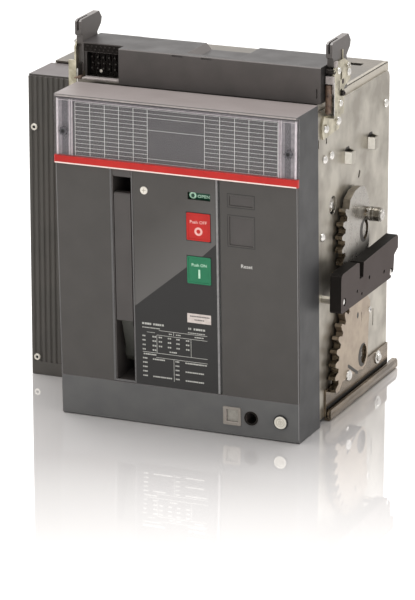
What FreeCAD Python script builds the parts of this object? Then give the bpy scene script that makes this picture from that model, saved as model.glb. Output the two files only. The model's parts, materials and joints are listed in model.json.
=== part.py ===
import FreeCAD, Part
import math, os

# Moving unit of a four-pole withdrawable air switch disconnector.
# Millimetres. X runs across the poles, Y runs from the front to the rear, Z is up.
# The origin lies on the floor under the middle of the unit.

V = FreeCAD.Vector

# Poles and overall size
pole_count = 4
pole_pitch = 90.0
edge_allowance = 3.0
overall_depth = 328.0
front_y = -overall_depth / 2
right_x = pole_count * pole_pitch / 2 + edge_allowance
left_x = -right_x

# Front cover, which spans three poles and leans back at its foot
cover_poles = 3
cover_left = right_x - cover_poles * pole_pitch - 2 * edge_allowance
cover_height = 358.0
cover_depth = 59.0
cover_lean = 2.24
cover_wall = 3.0
panel_thickness = 3.0
panel_bottom = 44.4
panel_top = 282.6
panel_joint = 0.3
panel_inset = 0.5

# Transparent label cover and the red strip under it
label_cover_wall = 2.2
label_cover_depth = 5.5
label_cover_overhang = 0.9
label_cover_top = cover_height - 2.6
strip_height = 8.4
label_left = -72.9
label_right = 160.6
label_foot_gap = 0.3
label_head_gap = 5.2
label_thickness = 1.0
label_screw_inset = 10.0
label_screw_drop = 5.35

# Charging lever and its slot
slot_left = -28.6
slot_right = -4.8
bezel_wall = 1.5
bezel_depth = 47.0
lever_side_gap = 1.0
lever_bottom = 113.0
lever_top = 256.5
lever_thickness = 12.0
lever_pivot_height = 72.0
lever_pivot_depth = 30.0
lever_hub_radius = 12.0
charging_shaft_radius = 7.0
ratchet_radius = 22.0
ratchet_teeth = 14

# Centre and right panels, buttons and windows
centre_right = 90.6
panel_groove = 4.7
button_left = 57.0
button_width = 27.6
button_height = 30.8
off_button_bottom = 213.0
on_button_bottom = 165.0
button_gap = 0.3
button_stand = 0.6
button_cap_depth = 6.6
button_travel = 4.0
button_stem = 5.0
button_bracket_depth = 16.0
indicator_left = 58.6
indicator_height = 8.4
indicator_bottom = 257.6
indicator_drum_radius = 10.0
insert_left = 106.0
insert_width = 26.6
small_insert_bottom = 256.0
small_insert_height = 11.0
large_insert_bottom = 212.8
large_insert_height = 31.0
cover_screw_x = 8.7
cover_screw_height = 262.0

# Bottom band: position window, crank hole and key lock
band_centre_height = 21.8
window_left = 96.0
window_size = 20.2
window_rim = 3.2
position_drum_radius = 9.0
crank_x = 128.0
crank_bore_radius = 6.0
crank_bush_radius = 8.0
crank_bush_length = 18.0
lock_x = 162.0
lock_radius = 7.6
lock_stand = 1.0
lock_plug_radius = 5.8
lock_length = 30.0

# Steel side plates, top plates and base
sheet = 2.0
plate_inset = 5.0
plate_front = front_y + 56.0
plate_rear = front_y + 288.0
plate_foot = 4.0
plate_corner_radius = 9.0
left_plate_front = front_y + 131.0
top_plate_front = front_y + 76.0
top_plate_height = cover_height - 2.0
plate_height = top_plate_height - 9.0
top_plate_left = -100.0
base_height = 10.0
runner_height = 34.0
runner_lip = 8.0
runner_lip_height = 12.0
runner_front = front_y + 98.0
runner_tail = 17.0

# Ribbed cover of the fourth pole
wing_front = front_y + 125.0
wing_rear = front_y + 184.0
wing_height = plate_height - 3.0
wing_wall = 2.5
wing_ribs = 14
rib_depth = 1.8
rib_bottom = 15.0
wing_screw_inset = 6.5
wing_screw_heights = (20.2, 285.0)

# Pole housing, contacts and terminals
housing_front = front_y + 127.5
housing_rear = front_y + 284.0
housing_top = top_plate_height - 15.0
housing_wall = 4.0
chamber_width = 50.0
shaft_height = 122.0
main_shaft_radius = 12.0
blade_length = 104.0
blade_thickness = 12.0
blade_width = 14.0
blade_open_angle = 35.0
blade_front_gap = 10.94
terminal_width = 40.0
terminal_thickness = 12.0
upper_terminal_height = 252.0
lower_terminal_height = 96.0
terminal_end = front_y + 300.0
finger_length = 42.0
finger_height = 11.0
finger_width = 10.5
finger_count = 3
finger_pitch = 14.0
chute_plates = 6

# Racking drive outside the right plate, and the guide roller of the left plate
gear_module = 4.5
upper_teeth = 28
lower_teeth = 35
sector_thickness = 8.0
sector_gap = 2.3
sector_depth = 186.5
lower_sector_height = 49.75
upper_sector_height = lower_sector_height + gear_module * (upper_teeth + lower_teeth) / 2
racking_shaft_radius = 9.0
counterbore_radius = 12.5
counterbore_depth = 4.0
roller_reach = 18.5
roller_angle = 114.0
roller_radius = 7.8
roller_width = 12.0
roller_pin_radius = 5.0
roller_stand = 23.0
input_shaft_radius = 6.0
gearbox_width = 36.0
gearbox_front = front_y + 166.0
gearbox_height = 76.0

# Shutter cam block on the right plate
cam_stand = 13.0
cam_thickness = 13.0
cam_ridge_gap = 0.8
cam_front = front_y + 78.0
cam_rear = front_y + 251.5
cam_bottom = 127.5
cam_top = 172.0

# Terminal box and guide hooks on top
box_front = front_y + 71.0
box_rear = front_y + 135.0
box_left = -50.0
box_right = right_x - 2.0
box_height = top_plate_height + 39.0
box_wall = 2.5
recess_left = 24.0
recess_right = 88.0
recess_depth = 7.0
bay_roof = 10.0
bay_front = front_y + 86.0
hook_thickness = 7.0
hook_front = front_y + 85.0
hook_length = 54.0
hook_top = box_height + 25.0
hook_height = 17.0
hook_foot = top_plate_height + 6.0
bracket_top = box_height + 2.0
bracket_shelf = top_plate_height - 16.0

# Clearances and fasteners
running_gap = 0.3
shaft_fit = 0.06
screw_radius = 3.6
rivet_radius = 3.9
rivet_height = 2.2


def depth(distance):
    """Y of a plane that lies this far behind the front face."""
    return front_y + distance


cover_setback = cover_height * math.tan(math.radians(cover_lean))
plate_outer = right_x - plate_inset
housing_bottom = gearbox_height + 2.0
plate_inner = plate_outer - sheet
blade_turn = math.radians(blade_open_angle)
blade_reach = blade_length * math.sin(blade_turn) + blade_thickness / 2 * math.cos(blade_turn)
shaft_y = housing_front + housing_wall + blade_front_gap + blade_reach
gearbox_rear = shaft_y
sector_y = depth(sector_depth)


# Shape helpers
def block(x0, x1, y0, y1, z0, z1):
    return Part.makeBox(x1 - x0, y1 - y0, z1 - z0, V(x0, y0, z0))


def rod(axis, radius, start, length):
    direction = {"x": V(1, 0, 0), "y": V(0, 1, 0), "z": V(0, 0, 1)}[axis]
    return Part.makeCylinder(radius, length, V(*start), direction)


def side_profile(points, x0, x1):
    """Closed outline of (y, z) points, extruded along X."""
    corners = [V(x0, y, z) for y, z in points]
    face = Part.Face(Part.makePolygon(corners + corners[:1]))
    return face.extrude(V(x1 - x0, 0, 0))


def front_profile(points, y0, y1):
    """Closed outline of (x, z) points, extruded along Y."""
    corners = [V(x, y0, z) for x, z in points]
    face = Part.Face(Part.makePolygon(corners + corners[:1]))
    return face.extrude(V(0, y1 - y0, 0))


def plan_profile(points, z0, z1):
    """Closed outline of (x, y) points, extruded along Z."""
    corners = [V(x, y, z0) for x, y in points]
    face = Part.Face(Part.makePolygon(corners + corners[:1]))
    return face.extrude(V(0, 0, z1 - z0))


def prism(axis, radius, start, length, sides=12, around=False):
    """Many-sided bar. Its corners lie on the radius, or its flats do if it goes around a shaft."""
    reach = radius / math.cos(math.pi / sides) if around else radius
    turns = [2 * math.pi * (index + 0.5) / sides for index in range(sides)]
    ring = [(reach * math.cos(turn), reach * math.sin(turn)) for turn in turns]
    x, y, z = start
    if axis == "x":
        return side_profile([(y + a, z + b) for a, b in ring], x, x + length)
    if axis == "y":
        return front_profile([(x + a, z + b) for a, b in ring], y, y + length)
    return plan_profile([(x + a, y + b) for a, b in ring], z, z + length)


def straight_edges(shape, axis, test=None):
    """Straight edges that run along one axis."""
    direction = {"x": V(1, 0, 0), "y": V(0, 1, 0), "z": V(0, 0, 1)}[axis]
    edges = []
    for edge in shape.Edges:
        if edge.Curve.TypeId != "Part::GeomLine":
            continue
        if abs(edge.tangentAt(edge.FirstParameter).dot(direction)) < 0.999:
            continue
        if test is None or test(edge.CenterOfMass):
            edges.append(edge)
    return edges


def round_edges(shape, radius, axis, test=None):
    return shape.makeFillet(radius, straight_edges(shape, axis, test))


def bevel_edges(shape, size, axis, test=None):
    return shape.makeChamfer(size, straight_edges(shape, axis, test))


def pan_head(radius, height, start, direction):
    """Low head of a screw or rivet, flat side at start."""
    head = prism("z", radius, (0, 0, 0), height)
    turn = FreeCAD.Rotation(V(0, 0, 1), V(*direction))
    head.Placement = FreeCAD.Placement(V(*start), turn)
    return head


def leaning(shape):
    """Carry a shape from the upright front plane to the leaning one.

    In the upright plane Y is the distance behind the face and Z runs up it."""
    turn = FreeCAD.Rotation(V(1, 0, 0), cover_lean)
    placed = shape.copy()
    tilt = FreeCAD.Placement(V(0, front_y + cover_setback, 0), turn)
    placed.Placement = tilt.multiply(shape.Placement)
    return placed


def lean_point(face_depth, height):
    """Y and Z of a point given on the leaning plane."""
    angle = math.radians(cover_lean)
    y = front_y + cover_setback - height * math.sin(angle) + face_depth * math.cos(angle)
    z = height * math.cos(angle) + face_depth * math.sin(angle)
    return y, z


def save(name, *solids):
    shape = solids[0] if len(solids) == 1 else Part.makeCompound(list(solids))
    shape.exportStep("parts/" + name + ".step")


def mirror_x(shape):
    return shape.mirror(V(0, 0, 0), V(1, 0, 0))


os.makedirs("parts", exist_ok=True)


# Front frame: one moulding with a top lip, a bottom band and a recessed front wall
def cover_profile(inset, cut, rear_extra):
    """Side outline of the cover, drawn in at its front, top and foot, and let out at its rear."""
    top = cover_height - cut
    slope = math.tan(math.radians(cover_lean))
    front_top = front_y + cover_setback - top * slope + inset
    front_foot = front_y + cover_setback - cut * slope + inset
    rear_top = front_y + cover_depth + rear_extra
    rear_foot = rear_top + cover_setback
    return [(front_top, top), (rear_top, top), (rear_foot, cut), (front_foot, cut)]


window_bottom = band_centre_height - window_size / 2


def front_openings():
    """Cutters for every window of the front wall, on the upright plane."""
    through = (-5.0, 40.0)
    cuts = [
        block(slot_left, slot_right, *through, panel_bottom, panel_top),
        block(button_left, button_left + button_width, *through, off_button_bottom,
              off_button_bottom + button_height),
        block(button_left, button_left + button_width, *through, on_button_bottom,
              on_button_bottom + button_height),
        block(insert_left, insert_left + insert_width, *through, small_insert_bottom,
              small_insert_bottom + small_insert_height),
        block(insert_left, insert_left + insert_width, *through, large_insert_bottom,
              large_insert_bottom + large_insert_height),
        prism("y", screw_radius + 0.9, (cover_screw_x, -5, cover_screw_height), 45, around=True),
    ]
    return cuts


def make_front_frame():
    outer = side_profile(cover_profile(0, 0, 0), cover_left, right_x)
    outer = bevel_edges(outer, 1.2, "x", lambda c: c.y < front_y + 20 and c.z < 5)
    inner_wall = panel_thickness + cover_wall
    inner = side_profile(cover_profile(inner_wall, cover_wall, cover_wall),
                         cover_left + cover_wall, right_x - cover_wall)
    frame = outer.cut(inner)
    # Shallow seat of the three panels
    seat = leaning(block(cover_left - 1, right_x + 1, -5, panel_thickness,
                         panel_bottom - panel_joint, panel_top + panel_joint))
    frame = frame.cut(seat)
    # Seat of the label cover, closed at its back by a second wall
    label_seat = block(cover_left - 2, right_x + 2, front_y - 5, front_y + label_cover_depth,
                       panel_top + panel_joint, label_cover_top)
    label_back = block(cover_left + cover_wall, right_x - cover_wall,
                       front_y + label_cover_depth, front_y + label_cover_depth + cover_wall,
                       panel_top + panel_joint, label_cover_top + cover_wall / 2)
    frame = frame.fuse(label_back).cut(label_seat)
    for cut in front_openings():
        frame = frame.cut(leaning(cut))
    # Wider opening behind the indicator window, for the drum
    frame = frame.cut(leaning(block(indicator_left - 1, indicator_left + button_width,
                                    panel_thickness - 0.5, 30, indicator_bottom - 4,
                                    indicator_bottom + indicator_height + 4)))
    # Openings of the bottom band
    frame = frame.cut(leaning(block(window_left, window_left + window_size, -5, 40,
                                    window_bottom, window_bottom + window_size)))
    frame = frame.cut(prism("y", crank_bush_radius, (crank_x, front_y, band_centre_height), 40, 16))
    frame = frame.cut(leaning(prism("y", lock_radius, (lock_x, -5, band_centre_height), 40, 20)))
    # Bearing rib of the position drum
    rib_x = window_left + window_size + 0.4
    rib = leaning(block(rib_x, rib_x + 1.6, inner_wall - 0.5, inner_wall + 16,
                        band_centre_height - 8, band_centre_height + 8))
    pivot_y, pivot_z = lean_point(panel_thickness + running_gap + position_drum_radius,
                                  band_centre_height)
    rib = rib.cut(prism("x", 2 + shaft_fit, (rib_x - 1, pivot_y, pivot_z), 5, around=True))
    frame = frame.fuse(rib)
    # Pads that seat the cover on the side plate and on the mechanism frame
    for z in (36.0, 150.0, cover_height - 62.0):
        frame = frame.fuse(block(plate_outer, right_x - cover_wall + 0.5, plate_front + 1,
                                 plate_front + 9, z, z + 14))
    return frame.removeSplitter()


front_frame = make_front_frame()
save("front_frame", front_frame)


# Three panels on the leaning front
def make_panel(x0, x1):
    plate = block(x0, x1, 0, panel_thickness, panel_bottom, panel_top)
    plate = bevel_edges(plate, 0.6, "z", lambda c: c.y < 0.1)
    for cut in front_openings()[1:]:
        plate = plate.cut(cut)
    if x0 < indicator_left < x1:
        plate = plate.cut(block(indicator_left, indicator_left + button_width - 1.6, -1, 10,
                                indicator_bottom, indicator_bottom + indicator_height))
    return leaning(plate)


save("left_front_panel", make_panel(cover_left + panel_inset, slot_left - 1.2))
save("control_panel", make_panel(slot_right + 0.2, centre_right))
save("right_front_panel", make_panel(centre_right + panel_groove, right_x - panel_inset))

# Dark slot bezel of the charging lever
bezel = block(slot_left, slot_right, 0.4, bezel_depth, panel_bottom, panel_top)
bezel = bezel.cut(block(slot_left + bezel_wall, slot_right - bezel_wall, -1,
                        bezel_depth - bezel_wall, panel_bottom + bezel_wall,
                        panel_top - bezel_wall))
bezel = bezel.cut(prism("x", charging_shaft_radius + 0.6,
                        (slot_left - 1, lever_pivot_depth, lever_pivot_height),
                        slot_right - slot_left + 2, around=True))
save("lever_slot_bezel", leaning(bezel))


# Charging lever: a flush handle on a cranked arm that turns about a hub
def make_charging_lever():
    x0 = slot_left + bezel_wall + lever_side_gap
    x1 = slot_right - bezel_wall - lever_side_gap
    flush = 0.3
    handle = side_profile([(flush, lever_bottom), (flush, lever_top),
                           (lever_thickness - 4, lever_top), (lever_thickness, lever_top - 7),
                           (lever_thickness, lever_bottom)], x0, x1)
    handle = bevel_edges(handle, 1.2, "x", lambda c: c.y < 1)
    finger_grip = block(x0 + 2, x1 - 2, lever_thickness - 5, lever_thickness + 1,
                        lever_bottom + 14, lever_top - 16)
    handle = handle.cut(finger_grip)
    inner = 3.0
    arm = side_profile([(inner + 2, lever_bottom + 2), (lever_thickness, lever_bottom + 12),
                        (lever_pivot_depth + lever_hub_radius * 0.8, lever_pivot_height + 7),
                        (lever_pivot_depth - lever_hub_radius * 0.9, lever_pivot_height - 5)],
                       x0 + inner, x1 - inner)
    hub = prism("x", lever_hub_radius, (x0 + 1, lever_pivot_depth, lever_pivot_height),
                x1 - x0 - 2)
    bore = prism("x", charging_shaft_radius + shaft_fit,
                 (x0 - 1, lever_pivot_depth, lever_pivot_height), x1 - x0 + 2, 16, around=True)
    return leaning(handle.fuse(arm).fuse(hub).cut(bore).removeSplitter())


save("charging_lever", make_charging_lever())

# Mechanism frame: a rear plate and three cheeks that stand on it
mechanism_left = slot_left - 5.5
mechanism_right = centre_right + 1.0
frame_left = cover_left + cover_wall
frame_bottom = 30.0
frame_top = housing_top - 11.0
cheek_front = depth(30)
charging_y, charging_z = lean_point(lever_pivot_depth, lever_pivot_height)
indicator_axis = panel_thickness + running_gap + indicator_drum_radius
indicator_y, indicator_z = lean_point(indicator_axis, indicator_bottom + indicator_height / 2)


def make_mechanism_frame():
    rear_y = housing_front
    rear = block(frame_left, plate_inner, rear_y - sheet, rear_y, base_height, frame_top)
    rear = rear.cut(prism("y", input_shaft_radius + shaft_fit,
                          (crank_x, rear_y - sheet - 1, band_centre_height), sheet + 2, 16, around=True))
    plates = [rear]
    for x in (frame_left, mechanism_left, mechanism_right):
        cheek = side_profile([(cheek_front - 8, frame_bottom + 20), (cheek_front - 8, frame_top - 30),
                              (cheek_front + 14, frame_top), (rear_y - sheet, frame_top),
                              (rear_y - sheet, frame_bottom), (cheek_front + 12, frame_bottom)],
                             x, x + sheet)
        if x > frame_left:
            cheek = cheek.cut(prism("x", charging_shaft_radius + shaft_fit,
                                    (x - 1, charging_y, charging_z), sheet + 2, 16, around=True))
        if x == mechanism_right:
            cheek = cheek.cut(prism("x", 2.5 + shaft_fit, (x - 1, indicator_y, indicator_z), sheet + 2,
                                    around=True))
        plates.append(cheek)
    return plates


save("mechanism_frame", *make_mechanism_frame())


# Charging shaft with its ratchet wheel and closing cam
def make_ratchet(x0, x1):
    points = []
    for tooth in range(ratchet_teeth):
        start = 2 * math.pi * tooth / ratchet_teeth
        end = 2 * math.pi * (tooth + 0.92) / ratchet_teeth
        for angle, radius in ((start, ratchet_radius), (end, ratchet_radius - 4)):
            points.append((charging_y + radius * math.cos(angle),
                           charging_z + radius * math.sin(angle)))
    return side_profile(points, x0, x1)


cam_width = 12.0
charging_length = mechanism_right + sheet - mechanism_left + 2
charging_shaft = rod("x", charging_shaft_radius, (mechanism_left - 1, charging_y, charging_z),
                     charging_length)
shaft_socket = prism("x", charging_shaft_radius, (0, charging_y, charging_z), 60, around=True)
closing_cam = prism("x", 15.0, (32, charging_y + 5, charging_z), cam_width).cut(shaft_socket)
ratchet = make_ratchet(4, 10).cut(shaft_socket)
save("charging_shaft", charging_shaft, closing_cam)
save("ratchet_wheel", ratchet)


# Push buttons, their springs and the bracket that guides the stems
def square_bar(x, z, width, y0, y1):
    half = width / 2
    return block(x - half, x + half, y0, y1, z - half, z + half)


def make_button(bottom):
    x0 = button_left + button_gap
    x1 = button_left + button_width - button_gap
    cap = block(x0, x1, -button_stand, button_cap_depth - button_stand, bottom + button_gap,
                bottom + button_height - button_gap)
    cap = bevel_edges(cap, 1.0, "y")
    dish = block(x0 + 1.6, x1 - 1.6, -button_stand - 1, -button_stand + 0.5,
                 bottom + button_gap + 1.6, bottom + button_height - button_gap - 1.6)
    centre_x = button_left + button_width / 2
    centre_z = bottom + button_height / 2
    stem = square_bar(centre_x, centre_z, button_stem, 1,
                      button_bracket_depth + sheet + button_travel + 1)
    collar_front = button_bracket_depth + sheet + running_gap
    collar = square_bar(centre_x, centre_z, button_stem + 3, collar_front, collar_front + 2)
    return leaning(cap.cut(dish).fuse(stem).fuse(collar).removeSplitter())


def make_button_spring(bottom):
    """Coil between the cap and the bracket, bent from short straight lengths of wire."""
    wire = 0.9
    coil_radius = button_stem * 0.9
    first = button_cap_depth - button_stand + wire
    length = button_bracket_depth - first - wire
    turns = 3
    steps = 8 * turns
    centre_x = button_left + button_width / 2
    centre_z = bottom + button_height / 2
    path = []
    for step in range(steps + 1):
        turn = 2 * math.pi * turns * step / steps
        path.append(V(centre_x + coil_radius * math.cos(turn), first + length * step / steps,
                      centre_z + coil_radius * math.sin(turn)))
    half = wire / 2
    corners = [(-half, -half), (half, -half), (half, half), (-half, half), (-half, -half)]
    section = Part.makePolygon([path[0] + V(across, along, 0) for across, along in corners])
    sweep = Part.BRepOffsetAPI.MakePipeShell(Part.makePolygon(path))
    sweep.setTransitionMode(1)
    sweep.add(section)
    sweep.build()
    sweep.makeSolid()
    return leaning(sweep.shape())


save("off_button", make_button(off_button_bottom))
save("on_button", make_button(on_button_bottom))
save("button_springs", make_button_spring(off_button_bottom), make_button_spring(on_button_bottom))

bracket_left = indicator_left - 7
button_bracket = block(bracket_left, mechanism_right, button_bracket_depth,
                       button_bracket_depth + sheet, on_button_bottom - 6,
                       off_button_bottom + button_height + 1)
for stem_base in (off_button_bottom, on_button_bottom):
    button_bracket = button_bracket.cut(
        square_bar(button_left + button_width / 2, stem_base + button_height / 2,
                   button_stem + 2 * shaft_fit, 0, 40))
drum_ear = block(bracket_left, bracket_left + sheet, 8, button_bracket_depth + sheet,
                 off_button_bottom + button_height - 6, indicator_bottom + indicator_height + 2)
drum_ear = drum_ear.cut(prism("x", 2.5 + shaft_fit, (bracket_left - 1, indicator_axis,
                                                     indicator_bottom + indicator_height / 2), 5,
                              around=True))
save("button_bracket", leaning(button_bracket.fuse(drum_ear).removeSplitter()))

# Drum that shows the state of the contacts
drum_x0 = indicator_left + 0.5
drum_length = button_width - 2.6
drum_centre = (indicator_axis, indicator_bottom + indicator_height / 2)
state_drum = prism("x", indicator_drum_radius, (drum_x0, *drum_centre), drum_length)
state_axle = prism("x", 2.5, (bracket_left, *drum_centre), mechanism_right + sheet - bracket_left)
save("state_drum", leaning(state_drum.fuse(state_axle)))

# Blanking inserts and the single cover screw
insert_fit = 0.2
inserts = []
for bottom, height in ((small_insert_bottom, small_insert_height),
                       (large_insert_bottom, large_insert_height)):
    plug = block(insert_left + insert_fit, insert_left + insert_width - insert_fit,
                 panel_thickness / 4, panel_thickness + cover_wall + 1.5, bottom + insert_fit,
                 bottom + height - insert_fit)
    plug = plug.fuse(block(insert_left - 1.5, insert_left + insert_width + 1.5,
                           panel_thickness + cover_wall, panel_thickness + cover_wall + 1.5,
                           bottom - 1.5, bottom + height + 1.5))
    inserts.append(leaning(plug.removeSplitter()))
save("blanking_inserts", *inserts)
cover_screw = pan_head(screw_radius + 0.8, 1.8, (cover_screw_x, 1.8, cover_screw_height), (0, -1, 0))
cover_screw = cover_screw.fuse(prism("y", screw_radius + 0.8, (cover_screw_x, 1.8, cover_screw_height),
                                     panel_thickness + cover_wall - 1.8))
wing_screws = [pan_head(screw_radius, 1.8, (left_x + wing_screw_inset, wing_front, z), (0, -1, 0))
               for z in wing_screw_heights]
save("cover_screws", leaning(cover_screw), *wing_screws)

# Label cover, its backing, the red strip and the two knurled fasteners
strip_bottom = panel_top + panel_joint
label_bottom = strip_bottom + strip_height
label_screw_height = (label_bottom + label_cover_top) / 2 - label_screw_drop
label_x0 = cover_left - label_cover_overhang
label_x1 = right_x + label_cover_overhang
label_cover = block(label_x0, label_x1, front_y, front_y + label_cover_depth, label_bottom,
                    label_cover_top)
label_cover = bevel_edges(label_cover, 1.2, "z", lambda c: c.y < front_y + 1)
label_cover = label_cover.cut(block(label_x0 + label_cover_wall, label_x1 - label_cover_wall,
                                    front_y + label_cover_wall, front_y + label_cover_depth + 1,
                                    label_bottom - 1, label_cover_top - label_cover_wall))
fastener_places = (cover_left + label_screw_inset, right_x - label_screw_inset)
fasteners = []
for x in fastener_places:
    label_cover = label_cover.cut(prism("y", screw_radius, (x, front_y - 1, label_screw_height), 5))
    head = prism("y", screw_radius - 0.2, (x, front_y + 0.4, label_screw_height),
                 label_cover_depth - 0.4)
    slot = block(x - 0.6, x + 0.6, front_y - 1, front_y + 1.4, label_screw_height - 3,
                 label_screw_height + 3)
    fasteners.append(head.cut(slot))
save("label_cover", label_cover)
save("label_fasteners", *fasteners)
save("label_backing", block(label_left, label_right, front_y + label_cover_depth - label_thickness,
                            front_y + label_cover_depth, label_bottom + label_foot_gap,
                            label_cover_top - label_head_gap))
strip = block(label_x0, label_x1, front_y, front_y + label_cover_depth, strip_bottom, label_bottom)
save("red_strip", bevel_edges(strip, 1.2, "z", lambda c: c.y < front_y + 1))

# Position window frame and the drum behind it
window = block(window_left, window_left + window_size, -0.8, panel_thickness + cover_wall,
               window_bottom, window_bottom + window_size)
window = bevel_edges(window, 0.8, "y")
window = window.cut(block(window_left + window_rim, window_left + window_size - window_rim, -2, 2.0,
                          window_bottom + window_rim, window_bottom + window_size - window_rim))
window = window.cut(block(window_left + 1.2, window_left + window_size - 1.2, 2.0, 20,
                          window_bottom + 0.2, window_bottom + window_size - 0.2))
save("position_window", leaning(window))
position_axis = panel_thickness + running_gap + position_drum_radius
position_drum = prism("x", position_drum_radius,
                      (window_left + 1.6, position_axis, band_centre_height), window_size - 3.2)
position_axle = prism("x", 2.0, (window_left + 1.6, position_axis, band_centre_height),
                      window_size + 0.6)
save("position_drum", leaning(position_drum.fuse(position_axle)))

# Crank bush and the input shaft of the racking drive, both level
bush_front = front_y + cover_setback - 1.2
crank_bush = prism("y", crank_bush_radius, (crank_x, bush_front, band_centre_height),
                   crank_bush_length, 16)
crank_bush = crank_bush.cut(rod("y", crank_bore_radius, (crank_x, bush_front - 1, band_centre_height),
                                crank_bush_length + 2))
save("crank_bush", crank_bush)
socket_front = bush_front + crank_bush_length + 1
socket_length = 22.0
socket_flat = 4.0
input_end = gearbox_rear - 8
input_shaft = prism("y", crank_bush_radius, (crank_x, socket_front, band_centre_height), socket_length)
input_shaft = input_shaft.fuse(rod("y", input_shaft_radius, (crank_x, socket_front, band_centre_height),
                                   input_end - socket_front))
socket = block(crank_x - socket_flat, crank_x + socket_flat, socket_front - 1, socket_front + 16,
               band_centre_height - socket_flat, band_centre_height + socket_flat)
save("input_shaft", input_shaft.cut(socket).removeSplitter())

# Key lock: a body and the plug that the key turns
lock_body = prism("y", lock_radius, (lock_x, -lock_stand, band_centre_height), lock_length, 20)
lock_body = lock_body.cut(prism("y", lock_plug_radius + shaft_fit,
                                (lock_x, -lock_stand - 1, band_centre_height), lock_length - 3, 20,
                                around=True))
lock_plug = prism("y", lock_plug_radius, (lock_x, -lock_stand - 0.4, band_centre_height),
                  lock_length - 4, 20)
key_slot = block(lock_x - 0.9, lock_x + 0.9, -4, 6, band_centre_height - 2.8,
                 band_centre_height + 2.8)
save("key_lock_body", leaning(lock_body))
save("key_lock_plug", leaning(lock_plug.cut(key_slot)))


# Racking sectors: involute teeth on part of a disc, with a solid web and hub
def polar(centre, radius, angle):
    """Point at an angle that starts at the front and rises over the top."""
    turn = math.radians(angle)
    return centre[0] - radius * math.cos(turn), centre[1] + radius * math.sin(turn)


def tooth_outline(teeth, centre, pitch_angle, backlash):
    """One tooth about a pitch angle: two involute flanks and a flat tip."""
    pitch_radius = gear_module * teeth / 2
    pressure = math.radians(20)
    base_radius = pitch_radius * math.cos(pressure)
    tip_radius = pitch_radius + 0.9 * gear_module
    root_radius = pitch_radius - 1.15 * gear_module
    half_pitch = math.pi / (2 * teeth) - backlash / (2 * pitch_radius)
    involute = math.tan(pressure) - pressure
    low = max(base_radius, root_radius)
    flank = []
    for step in range(3):
        radius = low + (tip_radius - low) * step / 2
        roll = math.acos(min(1.0, base_radius / radius))
        flank.append((radius, half_pitch + involute - (math.tan(roll) - roll)))
    flank.insert(0, (root_radius, flank[0][1]))
    up = [polar(centre, r, pitch_angle - math.degrees(a)) for r, a in flank]
    down = [polar(centre, r, pitch_angle + math.degrees(a)) for r, a in reversed(flank)]
    return up + down


def sector_shape(teeth, centre, first_tooth, cut_teeth, web, x0, x1):
    """Sector from its teeth, which run on from the first, and the points of its web."""
    outline = []
    for index in range(cut_teeth):
        outline += tooth_outline(teeth, centre, first_tooth + index * 360.0 / teeth, 0.35)
    outline += [polar(centre, radius, angle) for angle, radius in web]
    return side_profile(outline, x0, x1)


upper_centre = (sector_y, upper_sector_height)
lower_centre = (sector_y, lower_sector_height)
upper_step = 360.0 / upper_teeth
lower_step = 360.0 / lower_teeth
hub_radius = racking_shaft_radius + 8
upper_cut_teeth = 11
lower_cut_teeth = 11
# A lower tooth stands on the line of centres and an upper gap faces it.
lower_first = 90.0 - (lower_cut_teeth - 1) * lower_step
upper_first = -90.0 - upper_step / 2
upper_web = [(46, 61.5), (60, 58.5), (75, 54.0), (90, 49.0), (103, 40.0),
             (118, 32.0), (140, 25.0), (165, hub_radius), (195, hub_radius), (225, hub_radius + 5)]
lower_web = [(112, 60.0), (120, 36.0), (140, 22.0), (165, hub_radius), (200, hub_radius),
             (235, hub_radius), (265, hub_radius), (300, hub_radius), (336, 34.0), (348, 62.0)]


def make_sector(upper, x0, x1):
    """Sector in its rest place; its hub is bored and counterbored from x1."""
    centre = upper_centre if upper else lower_centre
    if upper:
        shape = sector_shape(upper_teeth, centre, upper_first, upper_cut_teeth, upper_web, x0, x1)
    else:
        shape = sector_shape(lower_teeth, centre, lower_first, lower_cut_teeth, lower_web, x0, x1)
    bore = racking_shaft_radius + (shaft_fit if upper else 0)
    shape = shape.cut(prism("x", bore, (x0 - 1, *centre), x1 - x0 + 2, 20, around=True))
    shape = shape.cut(prism("x", counterbore_radius, (x1 - counterbore_depth, *centre),
                            counterbore_depth + 1, 24, around=True))
    if not upper:
        light = [polar(centre, radius, angle) for radius, angle in
                 ((36, 84), (50, 84), (50, 91), (36, 93))]
        shape = shape.cut(side_profile(light, x0 - 1, x1 + 1))
    return shape


sector_x0 = plate_outer + sector_gap
sector_x1 = sector_x0 + sector_thickness
roller_centre = polar(upper_centre, roller_reach, roller_angle)
roller_end = plate_outer + roller_stand + 5
roller_x0 = roller_end - roller_width - 1.5


def make_roller_pin(start):
    """Shouldered pin that stands on a plate or sector, with a head that keeps the roller."""
    pin = rod("x", roller_pin_radius, (start, *roller_centre), roller_end - start)
    shoulder = prism("x", roller_radius - 0.4, (start, *roller_centre),
                     roller_x0 - running_gap - start, 16)
    head = prism("x", roller_pin_radius + 1.4, (roller_end - 1.2, *roller_centre), 1.2)
    return pin.fuse(shoulder).fuse(head).removeSplitter()


def make_roller():
    sleeve = rod("x", roller_radius, (roller_x0, *roller_centre), roller_width)
    return sleeve.cut(prism("x", roller_pin_radius + shaft_fit, (roller_x0 - 1, *roller_centre),
                            roller_width + 2, 16, around=True))


save("right_upper_sector", make_sector(True, sector_x0, sector_x1), make_roller_pin(sector_x1))
save("right_lower_sector", make_sector(False, sector_x0, sector_x1))
save("right_roller", make_roller())
save("left_roller", mirror_x(make_roller()))
racking_shaft_left = crank_x - gearbox_width / 2 - 6
racking_shaft_right = sector_x1 - counterbore_depth + 1.0
save("racking_shaft", rod("x", racking_shaft_radius, (racking_shaft_left, *lower_centre),
                          racking_shaft_right - racking_shaft_left))


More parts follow.
